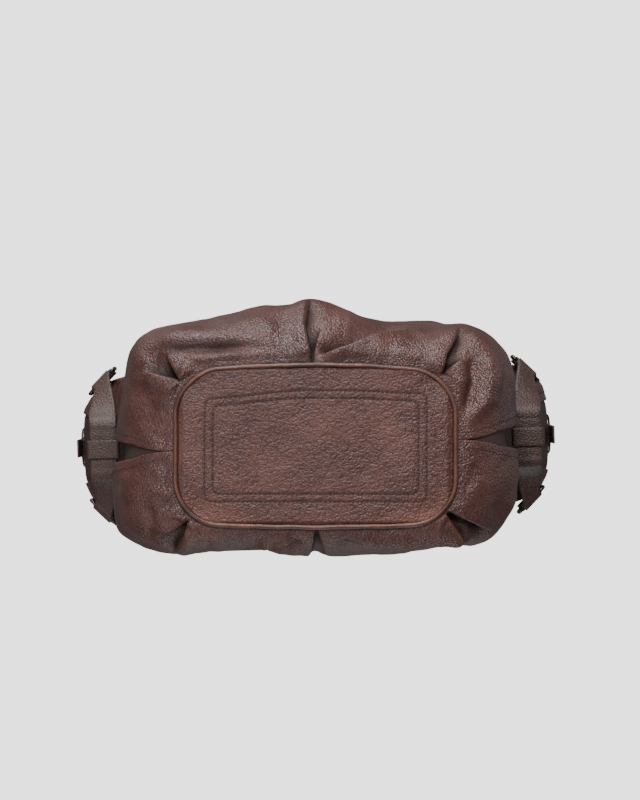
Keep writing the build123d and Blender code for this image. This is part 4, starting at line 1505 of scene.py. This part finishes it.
@dataclass
class SideHardware:
    """The rings' chapes, and the belts slung between them under their keepers."""

    belt_width: float = 24.0
    belt_thickness: float = 3.4
    belt_sag: float = 6.5
    loop_width: float = 20.0
    chape_width: float = 24.0
    chape_leather: float = 1.7
    keeper_width: float = 16.0
    keeper_leather: float = 1.7
    wire: float = 1.6
    clearance: float = 0.3
    ring_drop: float = 16.2

    def build(self) -> None:
        """Builds the leather at all four rings."""
        for end in ("left", "right"):
            for side in ("front", "back"):
                self.chape(side, end)
                self.belt_half(side, end)
            self.keeper(end)

    def place(self, side: str, end: str) -> tuple[np.ndarray, np.ndarray, np.ndarray]:
        """A ring's upper bar: its middle, its direction and the way out from the bag.

        Args:
            side: front or back.
            end: left or right.

        Returns:
            The bar's middle in millimetres, and two unit directions.
        """
        joint = next(j for j in frame["joints"] if j["name"] == f"{side}_{end}_ring_swing")
        middle = np.array(joint["pos_m"]) / MM
        bar = unit(np.array(joint["axis"], float))
        out = np.array([-bar[1], bar[0], 0.0])
        if out @ middle < 0:
            out = -out
        return middle, bar, out

    def chape(self, side: str, end: str) -> None:
        """The folded tab that holds a ring's upper bar, with its stitching.

        Args:
            side: front or back.
            end: left or right.
        """
        middle, bar, out = self.place(side, end)
        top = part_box(f"{side}_{end}_chape")[1].z / MM - middle[2]
        reach = self.wire + self.clearance + self.chape_leather / 2
        leaf = self.chape_leather / 2 + 0.05
        turn = np.linspace(math.radians(55), math.radians(-235), 26)
        loop = np.stack([reach * np.cos(turn), reach * np.sin(turn)], axis=1)
        right = np.stack([np.linspace(leaf, leaf, 14), np.linspace(top - 1, 9, 14)], axis=1)
        profile = np.vstack([right, loop, right[::-1] * (-1, 1)])
        profile = spline(profile[::2], 70)
        centres = middle + profile[:, :1] * out + profile[:, 1:] * np.array([0, 0, 1.0])
        across = np.broadcast_to(bar, centres.shape)
        piece = swept(f"{side}_{end}_chape_leather", centres, across, self.chape_width, self.chape_leather)
        unworn(piece)
        dress(piece, Leather.STRAP.value, BAG, f"{side}_{end}_chape")
        face = out * (leaf + self.chape_leather / 2)
        inner = self.chape_width / 2 - 2.6
        up = np.array([0, 0, 1.0])
        corners = [bar * -inner + up * 8.5, bar * -inner + up * (top - 3), bar * inner + up * (top - 3),
                   bar * inner + up * 8.5]
        path = resampled(np.array([middle + face + c for c in corners + corners[:1]]), 60)
        row = stitches(f"{side}_{end}_chape_stitches", path, np.broadcast_to(out, path.shape), pitch=3.4,
                       thickness=0.5)
        dress(row, Other.STRAP_THREAD.value, BAG)

    def belt_line(self, side: str, end: str) -> tuple[np.ndarray, np.ndarray]:
        """Half a belt's middle line and its width's direction, from the ring to the middle.

        Args:
            side: front or back.
            end: left or right.

        Returns:
            The line's points in millimetres, and a unit direction at each.
        """
        upper, bar, _ = self.place(side, end)
        lower = upper - (0, 0, self.ring_drop)
        box = [np.array(corner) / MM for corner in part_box(f"{end}_keeper")]
        middle = (box[0] + box[1]) / 2
        along = unit(twisted(np.array([0.0, 1.0 if side == "back" else -1.0, 0.0])))
        across_end = unit(twisted(np.array([1.0, 0.0, 0.0])))
        across_bar = bar if bar @ across_end > 0 else -bar
        hang = self.wire + self.clearance + self.belt_thickness / 2
        start = lower - (0, 0, hang - 1.2)
        heading = unit((middle + along * 17 - lower) * (1, 1, 0))
        points = np.array([
            start,
            start + heading * 7 - (0, 0, 3.0),
            lerp(lower, middle, 0.42) - (0, 0, self.belt_sag - 2.5),
            middle + along * 24 + (0, 0, 1.2),
            middle + along * 15,
            middle + along * 8,
            middle,
        ])
        line = spline(points, 60)
        share = np.linspace(0, 1, 60)[:, None]
        across = unit(lerp(across_bar[None], across_end[None], smoothstep(share * 1.5)))
        return line, across

    def belt_half(self, side: str, end: str) -> None:
        """Half a belt with the loop that holds the ring's lower bar.

        Args:
            side: front or back.
            end: left or right.
        """
        upper, bar, out = self.place(side, end)
        lower = upper - (0, 0, self.ring_drop)
        line, across = self.belt_line(side, end)
        width = lerp(self.loop_width, self.belt_width, smoothstep(np.linspace(0, 2.2, len(line))))
        sling = swept("sling", line, across, width, self.belt_thickness, crown=0.04, sheared=True)
        reach = self.wire + self.clearance + self.belt_thickness / 4
        turn = np.linspace(0, 2 * math.pi, 32, endpoint=False)
        ring = lower + reach * (np.cos(turn)[:, None] * out + np.sin(turn)[:, None] * np.array([0, 0, 1.0]))
        loop = swept("loop", ring, np.broadcast_to(bar, ring.shape), self.loop_width, self.belt_thickness / 2,
                     closed=True)
        piece = joined(f"{side}_{end}_belt_leather", [sling, loop])
        unworn(piece)
        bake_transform(piece)
        dress(piece, Leather.STRAP.value, BAG, f"{end}_belt", blended=True)
        tangent = unit(np.gradient(line, axis=0))
        under = np.cross(tangent, across)
        under *= np.where(under[:, 2:] > 0, -1, 1)
        rows = []
        for number, edge in enumerate((-1, 1)):
            path = line + across * edge * (width[:, None] / 2 - 2.8) + under * (self.belt_thickness / 2 + 0.1)
            rows.append(stitches(f"row_{number}", path[3:-15], under[3:-15], pitch=3.6, thickness=0.55))
        thread = joined(f"{side}_{end}_belt_stitches", rows)
        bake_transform(thread)
        dress(thread, Other.STRAP_THREAD.value, BAG, blended=True)

    def keeper(self, end: str) -> None:
        """The leather band round the middle of a belt.

        Args:
            end: left or right.
        """
        box = [np.array(corner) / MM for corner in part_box(f"{end}_keeper")]
        middle = (box[0] + box[1]) / 2
        half_x = self.belt_width / 2 + 0.3 + self.keeper_leather / 2
        half_z = self.belt_thickness / 2 + 0.3 + self.keeper_leather / 2
        ring = rounded_rectangle(half_x, half_z, 1.6, 90)
        flat = np.stack([ring[:, 0], 0 * ring[:, 0], ring[:, 1]], axis=1)
        centres = twisted(flat) + middle
        along = unit(twisted(np.array([0.0, 1.0, 0.0])))
        piece = swept(f"{end}_keeper_leather", centres, np.broadcast_to(along, centres.shape),
                      self.keeper_width, self.keeper_leather, closed=True)
        unworn(piece)
        dress(piece, Leather.STRAP.value, f"{end}_keeper_band", f"{end}_keeper")


@dataclass
class ShoulderStrap:
    """The padded strap over the mouth, with its loops and tabs on the round rings."""

    width: float = 30.0
    leather: float = 1.8
    filler: float = 4.0
    flat: float = 210.0
    shoulder: float = 396.0
    lower_bend: float = 115.0
    upper_bend: float = 215.0
    ring_radius: float = 16.0
    ring_wire: float = 4.0
    tab_width: float = 16.0
    tab_leather: float = 1.7
    leaf: float = 34.0

    def __post_init__(self) -> None:
        """Reads the strap's place from the frame."""
        joint = next(j for j in frame["joints"] if j["name"] == "right_strap_ring_turn")
        centre = np.array(joint["pos_m"]) / MM
        self.reach = float(np.linalg.norm(centre[:2]))
        self.ring_height = float(centre[2])
        low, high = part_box("handle_filler")
        self.foot = low.z / MM
        self.apex = high.z / MM - self.filler / 2

    def arch(self, offset: float, count: int = 220) -> np.ndarray:
        """The strap's arch in its own plane, moved out from its middle line.

        Args:
            offset: How far outside the middle line it lies.
            count: How many points to return.

        Returns:
            The points as (count, 3), in millimetres.
        """
        corners = np.array([(-self.reach, self.foot), (-self.reach, self.shoulder),
                            (-self.flat / 2, self.apex), (self.flat / 2, self.apex),
                            (self.reach, self.shoulder), (self.reach, self.foot)])
        radii = (self.lower_bend, self.upper_bend, self.upper_bend, self.lower_bend)
        parts = [corners[:1]]
        for before, corner, after, radius in zip(corners, corners[1:], corners[2:], radii):
            come, go = unit(corner - before), unit(after - corner)
            turn = math.acos(float(np.clip(come @ go, -1, 1)))
            inset = radius * math.tan(turn / 2)
            middle = corner - come * inset + np.array([come[1], -come[0]]) * radius
            begin = corner - come * inset - middle
            angles = np.linspace(0, -turn, 30)
            arc = [(begin[0] * math.cos(a) - begin[1] * math.sin(a),
                    begin[0] * math.sin(a) + begin[1] * math.cos(a)) for a in angles]
            parts.append(np.array(arc) + middle)
        parts.append(corners[-1:])
        line = resampled(np.vstack(parts), count)
        tangent = unit(np.gradient(line, axis=0))
        outward = np.stack([-tangent[:, 1], tangent[:, 0]], axis=1)
        line = line + outward * offset
        return twisted(np.stack([line[:, 0], 0 * line[:, 0], line[:, 1]], axis=1))

    def build(self) -> None:
        """Builds the strap's layers, stitches, loops and tabs."""
        across = unit(twisted(np.array([0.0, 1.0, 0.0])))
        skin = self.filler / 2 + self.leather / 2 + 0.15
        for name, node, offset, crown in (("strap_outer", "handle_outer", skin, 0.35),
                                          ("strap_backing", "handle_backing", -skin, 0.1)):
            line = self.arch(offset)
            piece = swept(name, line, np.broadcast_to(across, line.shape), self.width, self.leather,
                          crown=crown)
            unworn(piece)
            dress(piece, Leather.STRAP.value, "strap", node)
        line = self.arch(0)
        core = swept("strap_filler", line, np.broadcast_to(across, line.shape), self.width - 1.2,
                     self.filler + 0.3)
        dress(core, Other.FOAM.value, "strap", "handle_filler")
        for number, edge in enumerate((-1, 1)):
            for face in (-1, 1):
                line = self.arch(face * (skin + self.leather / 2 + 0.05))
                line = line + across * edge * (self.width / 2 - 3.2)
                tangent = unit(np.gradient(line, axis=0))
                up = np.cross(tangent, np.broadcast_to(across, line.shape)) * -face
                up *= np.sign(np.sum(up * (self.arch(face * 9.0) - self.arch(0)), axis=1, keepdims=True))
                side = "top" if face > 0 else "under"
                row = stitches(f"strap_stitches_{number}_{side}", line[5:-5], up[5:-5], pitch=4.0,
                               thickness=0.55)
                dress(row, Other.STRAP_THREAD.value, "strap")
        for end, sign in (("left", -1), ("right", 1)):
            self.loop(end, sign)
            self.tab(end, sign)

    def folded_strip(self, name: str, profile: np.ndarray, sign: int) -> bpy.types.Object:
        """A strip whose profile is drawn across the bag's end: x out from the ring's middle, y up.

        Args:
            name: The piece's name.
            profile: The strip's path as (n, 2).
            sign: 1 for the right end, -1 for the left.

        Returns:
            The new object.
        """
        flat = np.stack([sign * (self.reach + profile[:, 0]), 0 * profile[:, 0], profile[:, 1]], axis=1)
        centres = twisted(flat)
        across = unit(twisted(np.array([0.0, 1.0, 0.0])))
        return swept(name, centres, np.broadcast_to(across, centres.shape), self.tab_width, self.tab_leather)

    def loop(self, end: str, sign: int) -> None:
        """The loop between the strap's end and a round ring.

        Args:
            end: left or right.
            sign: 1 for the right end, -1 for the left.
        """
        wire = self.ring_height + self.ring_radius
        bend = self.ring_wire / 2 + 0.3 + self.tab_leather / 2
        leaf = self.filler / 2 + self.leather + 0.9 + self.tab_leather / 2
        top = self.foot + self.leaf - 1
        turn = np.linspace(0, -math.pi, 16)
        under = np.stack([bend * np.cos(turn), wire + bend * np.sin(turn)], axis=1)
        right = np.array([(leaf, top), (leaf, lerp(top, self.foot, 0.5)), (leaf, self.foot + 4),
                          (lerp(leaf, bend, 0.75), self.foot - 1.5), (bend, wire + 1.5)])
        profile = spline(np.vstack([right, under[1:-1:3], (right * (-1, 1))[::-1]]), 90)
        piece = self.folded_strip(f"{end}_loop_leather", profile, sign)
        unworn(piece)
        dress(piece, Leather.STRAP.value, "strap", f"{end}_handle_loop")

    def tab(self, end: str, sign: int) -> None:
        """The tab on the bag's end that carries a round ring.

        Args:
            end: left or right.
            sign: 1 for the right end, -1 for the left.
        """
        wire = self.ring_height - self.ring_radius
        bend = self.ring_wire / 2 + 0.3 + self.tab_leather / 2
        low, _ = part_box(f"{end}_handle_chape")
        bottom = low.z / MM
        turn = np.linspace(0, math.pi, 16)
        over = np.stack([bend * np.cos(turn), wire + bend * np.sin(turn)], axis=1)
        outer = np.array([(0.9, bottom + 1), (0.9, bottom + 22), (1.0, wire - 7.5), (bend, wire - 0.8)])
        inner = np.array([(-bend, wire - 0.8), (-0.9, wire - 7.0), (-0.95, 246.5)])
        profile = spline(np.vstack([outer, over[2:-2:3], inner]), 90)
        piece = self.folded_strip(f"{end}_tab_leather", profile, sign)
        unworn(piece)
        dress(piece, Leather.STRAP.value, BAG, f"{end}_handle_chape")


@dataclass
class Inside:
    """The lining, the facing inside the mouth, and the binding on its edge."""

    form: BodyForm
    facing_height: float = 30.0

    def shell(self, name: str, inset: float, first_row: int, dip: float,
              floor: bool) -> bpy.types.Object:
        """A closed band of the body's form, taken in by an inset, facing inwards.

        Args:
            name: The piece's name.
            inset: How far inside the form it lies near the mouth.
            first_row: The first of the form's rows that it has.
            dip: How far below the mouth's edge it ends.
            floor: Whether it is closed across the bottom.

        Returns:
            The new object.
        """
        rows_under, rows_upper, columns = 30, 70, 300
        rows = rows_under + rows_upper
        place = np.linspace(0, 4, columns, endpoint=False)[None] * np.ones((rows, 1))
        grid = self.form.surface(place, rows_under, rows_upper, dip)
        normal = normals_of(grid, closed=True)
        if np.mean(np.sum(normal[..., :2] * grid[..., :2], axis=-1)) < 0:
            normal = -normal
        height = grid[..., 2]
        ends = np.exp(-(((np.mod(place, 2) - 1) / 0.16) ** 2)) * smoothstep((height - 20) / 40)
        depth = 11 + 3 * smoothstep((height - 6) / 20) - (14 - inset) * smoothstep((height - 105) / 40)
        depth += 9.5 * ends * smoothstep((202 - height) / 32)
        depth += 0.6 * ripple(grid, 30, 61) * smoothstep((150 - height) / 40)
        shaped = grid - normal * depth[..., None]
        shaped = shaped[first_row:]
        points = shaped.reshape(-1, 3)
        faces = [list(f) for f in grid_faces(len(shaped), columns, closed=True)]
        if floor:
            rings = []
            for share in (0.9, 0.72, 0.5, 0.28):
                ring = shaped[0] * (share, share, 1)
                ring[:, 2] = shaped[0, :, 2].mean() + 0.3 * ripple(ring[:, :2], 40, 62)
                rings.append(ring)
            start = len(points)
            points = np.vstack([points, *rings, [(0, 0, shaped[0, :, 2].mean())]])
            previous = 0
            for number in range(len(rings)):
                current = start + number * columns
                for j in range(columns):
                    k = (j + 1) % columns
                    faces.append([previous + k, previous + j, current + j, current + k])
                previous = current
            centre = len(points) - 1
            faces += [[centre, previous + (j + 1) % columns, previous + j] for j in range(columns)]
        return new_piece(name, points, [f[::-1] for f in faces])

    def build(self) -> None:
        """Builds the three pieces."""
        lining = self.shell("lining_cloth", 2.9, 4, self.facing_height, True)
        # The flat size was chosen to agree with the area of the cloth as it is modelled here.
        dress(lining, Other.LINING.value, BAG, "lining")
        facing = self.facing()
        unworn(facing)
        # The darker gusset calf: painted shade inside the mouth.
        dress(facing, Leather.GUSSET.value, BAG, "mouth_facing")
        self.binding()

    def facing(self) -> bpy.types.Object:
        """The leather band inside the mouth.

        Returns:
            The new object.
        """
        rows, columns = 16, 340
        place = np.linspace(0, 4, columns, endpoint=False)[None] * np.ones((rows, 1))
        edge = self.form.mouth_height(self.form.top.at(place)[..., 0])
        height = edge - self.facing_height * np.linspace(1, 0, rows)[:, None]
        grid = np.concatenate([self.form.upper(place, height), height[..., None]], axis=-1)
        normal = normals_of(grid, closed=True)
        if np.mean(np.sum(normal[..., :2] * grid[..., :2], axis=-1)) < 0:
            normal = -normal
        shaped = grid - normal * 3.5
        faces = grid_faces(rows, columns, closed=True)[:, ::-1]
        piece = new_piece("facing_leather", shaped.reshape(-1, 3), faces)
        shell = piece.modifiers.new("leather", "SOLIDIFY")
        shell.thickness = 1.0 * MM
        shell.offset = 0
        finish_modifiers(piece)
        return piece

    def binding(self) -> None:
        """The bound edge of the mouth, with its stitches."""
        columns = 520
        place = np.linspace(0, 4, columns, endpoint=False)[None]
        edge = self.form.mouth_height(self.form.top.at(place)[..., 0])
        line = np.concatenate([self.form.upper(place, edge), edge[..., None]], axis=-1)[0]
        ring = np.vstack([line[-1:], line, line[:1]])
        tangent = unit(np.gradient(ring, axis=0)[1:-1])
        out = unit(np.cross(tangent, np.array([0.0, 0.0, 1.0])))
        if np.mean(np.sum(out[:, :2] * line[:, :2], axis=1)) < 0:
            out = -out
        centres = line - out * 2.4 + np.array([0, 0, 0.4])
        piece = swept("mouth_binding_leather", centres, out, 6.6, 4.2, closed=True, crown=0.25)
        paint(piece, "wear", np.full(len(piece.data.vertices), 0.25))
        dress(piece, Leather.STRAP.value, BAG, "mouth_binding")
        row = stitches("mouth_stitches", line + out * 0.15 - np.array([0, 0, 4.5]), out, pitch=4.0,
                       thickness=0.6, closed=True)
        dress(row, Other.STRAP_THREAD.value, BAG)


class Metalwork:
    """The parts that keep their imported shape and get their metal, cloth or board."""

    finishes = {
        "snap_stud": Other.GUNMETAL, "snap_socket": Other.GUNMETAL, "snap_washers": Other.NICKEL,
        "zip_tape": Other.TAPE, "zip_teeth": Other.NICKEL, "zip_stops": Other.NICKEL,
        "zip_slider": Other.GUNMETAL, "zip_puller": Other.GUNMETAL, "zip_pocket_bag": Other.LINING,
        "base_board": Other.BOARD, "handle_screws": Other.GUNMETAL,
    }

    def build(self) -> None:
        """Gives each kept part its finish."""
        chosen = dict(self.finishes)
        for name in frame["nodes"]:
            if name.endswith("_ring"):
                chosen[name] = Other.GUNMETAL
        for name, finish in chosen.items():
            part = frame["nodes"][name]
            part.data.materials.clear()
            part.data.materials.append(finish.value.material())
            LOG.info("%s keeps its shape", name)


# ---- Stage -----------------------------------------------------------------
@dataclass
class Stage:
    """The pale floor, the studio light and the camera under the bag."""

    camera_drop: float = 2.0
    field_mm: float = 640.0
    camera_x: float = 3.6
    camera_y: float = -36.8
    floor_colour: str = "#e4e3e1"
    floor_glow: float = 0.7
    sky_colour: str = "#ebebeb"
    backdrop_strength: float = 3.1
    cast_strength: float = 0.45
    mirrored_strength: float = 0.2
    # Each lamp's name, its place and the length of its side in metres, and its power in watts.
    lamps: tuple[tuple[str, tuple[float, float, float], float, float], ...] = (
        ("key", (0.0, -1.05, -1.5), 0.55, 36.0),
        ("low_front", (-0.35, -1.9, -0.3), 0.55, 33.0),
        ("under_fill", (-1.1, 0.9, -1.4), 1.4, 17.0),
        ("standing_key", (-1.3, -2.3, 0.75), 2.2, 27.0),
        ("standing_fill", (2.5, -0.9, 0.55), 1.4, 14.0),
        ("back_light", (0.4, 2.8, 0.7), 1.6, 26.0),
    )

    def build(self) -> None:
        """Builds the floor, the lights, the sky and the camera."""
        self.floor()
        self.sky()
        for name, place, size, power in self.lamps:
            self.light(name, place, size, power)
        self.camera()

    def floor(self) -> None:
        """A very large floor that only shows, and only counts, from above."""
        bpy.ops.object.select_all(action="DESELECT")
        bpy.ops.mesh.primitive_plane_add(size=80.0)
        piece = bpy.context.view_layer.objects.active
        piece.name = "studio_floor"
        material = bpy.data.materials.new("seamless paper")
        material.use_nodes = True
        tree = material.node_tree
        tree.nodes.clear()
        paper = add_node(tree, "ShaderNodeBsdfPrincipled")
        paper.inputs["Base Color"].default_value = linear(self.floor_colour)
        paper.inputs["Roughness"].default_value = 0.9
        paper.inputs["Emission Color"].default_value = linear(self.floor_colour)
        paper.inputs["Emission Strength"].default_value = self.floor_glow
        clear = add_node(tree, "ShaderNodeBsdfTransparent")
        side = add_node(tree, "ShaderNodeNewGeometry")
        mix = add_node(tree, "ShaderNodeMixShader")
        tree.links.new(side.outputs["Backfacing"], mix.inputs[0])
        tree.links.new(paper.outputs[0], mix.inputs[1])
        tree.links.new(clear.outputs[0], mix.inputs[2])
        add_node(tree, "ShaderNodeOutputMaterial", None, Surface=mix.outputs[0])
        piece.data.materials.append(material)
        for ray in ("diffuse", "glossy", "transmission", "shadow", "volume_scatter"):
            setattr(piece, f"visible_{ray}", False)

    def sky(self) -> None:
        """A pale backdrop for the camera, and a softer light for everything else."""
        world = bpy.data.worlds.new("studio")
        bpy.context.scene.world = world
        world.use_nodes = True
        tree = world.node_tree
        tree.nodes.clear()
        path = add_node(tree, "ShaderNodeLightPath")
        sky = linear(self.sky_colour)
        seen = add_node(tree, "ShaderNodeBackground", None, Color=sky,
                        Strength=self.backdrop_strength)
        cast = add_node(tree, "ShaderNodeBackground", None, Color=sky,
                        Strength=self.cast_strength)
        mirrored = add_node(tree, "ShaderNodeBackground", None, Color=sky,
                            Strength=self.mirrored_strength)
        under = add_node(tree, "ShaderNodeMixShader")
        tree.links.new(path.outputs["Is Glossy Ray"], under.inputs[0])
        tree.links.new(cast.outputs[0], under.inputs[1])
        tree.links.new(mirrored.outputs[0], under.inputs[2])
        mix = add_node(tree, "ShaderNodeMixShader")
        tree.links.new(path.outputs["Is Camera Ray"], mix.inputs[0])
        tree.links.new(under.outputs[0], mix.inputs[1])
        tree.links.new(seen.outputs[0], mix.inputs[2])
        add_node(tree, "ShaderNodeOutputWorld", None, Surface=mix.outputs[0])

    def light(self, name: str, place: tuple[float, float, float], size: float, power: float) -> None:
        """A square soft light that shines at the bag's middle.

        Args:
            name: The lamp's name.
            place: Where it stands, in metres.
            size: The length of its side, in metres.
            power: Its power in watts.
        """
        data = bpy.data.lights.new(name, "AREA")
        data.size = size
        data.energy = power
        lamp = bpy.data.objects.new(name, data)
        lamp.location = place
        aim = Vector((0.0, 0.0, 0.08)) - Vector(place)
        lamp.rotation_euler = aim.to_track_quat("-Z", "Y").to_euler()
        lamp.visible_camera = False
        bpy.context.scene.collection.objects.link(lamp)

    def camera(self) -> None:
        """A long lens straight below the base, with the bag's front at the top of the frame."""
        data = bpy.data.cameras.new("camera")
        data.sensor_width = 36.0
        data.lens = data.sensor_width * self.camera_drop / (self.field_mm * MM)
        data.clip_end = 200.0
        view = bpy.data.objects.new("camera", data)
        place = Vector((self.camera_x * MM, self.camera_y * MM, -self.camera_drop))
        right, up = Vector((1, 0, 0)), Vector((0, -1, 0))
        turn = Matrix((right, up, right.cross(up))).transposed()
        view.matrix_world = Matrix.Translation(place) @ turn.to_4x4()
        bpy.context.scene.collection.objects.link(view)
        bpy.context.scene.camera = view


def main() -> None:
    """Builds the bag and its stage."""
    logging.basicConfig(level=logging.INFO, format="%(name)s %(message)s")
    Stage().build()
    form = BodyForm()
    Base().build()
    BodyPanels(form).build()
    Gussets(form).build()
    SideHardware().build()
    ShoulderStrap().build()
    Inside(form).build()
    Metalwork().build()


if __name__ == "__main__":
    main()
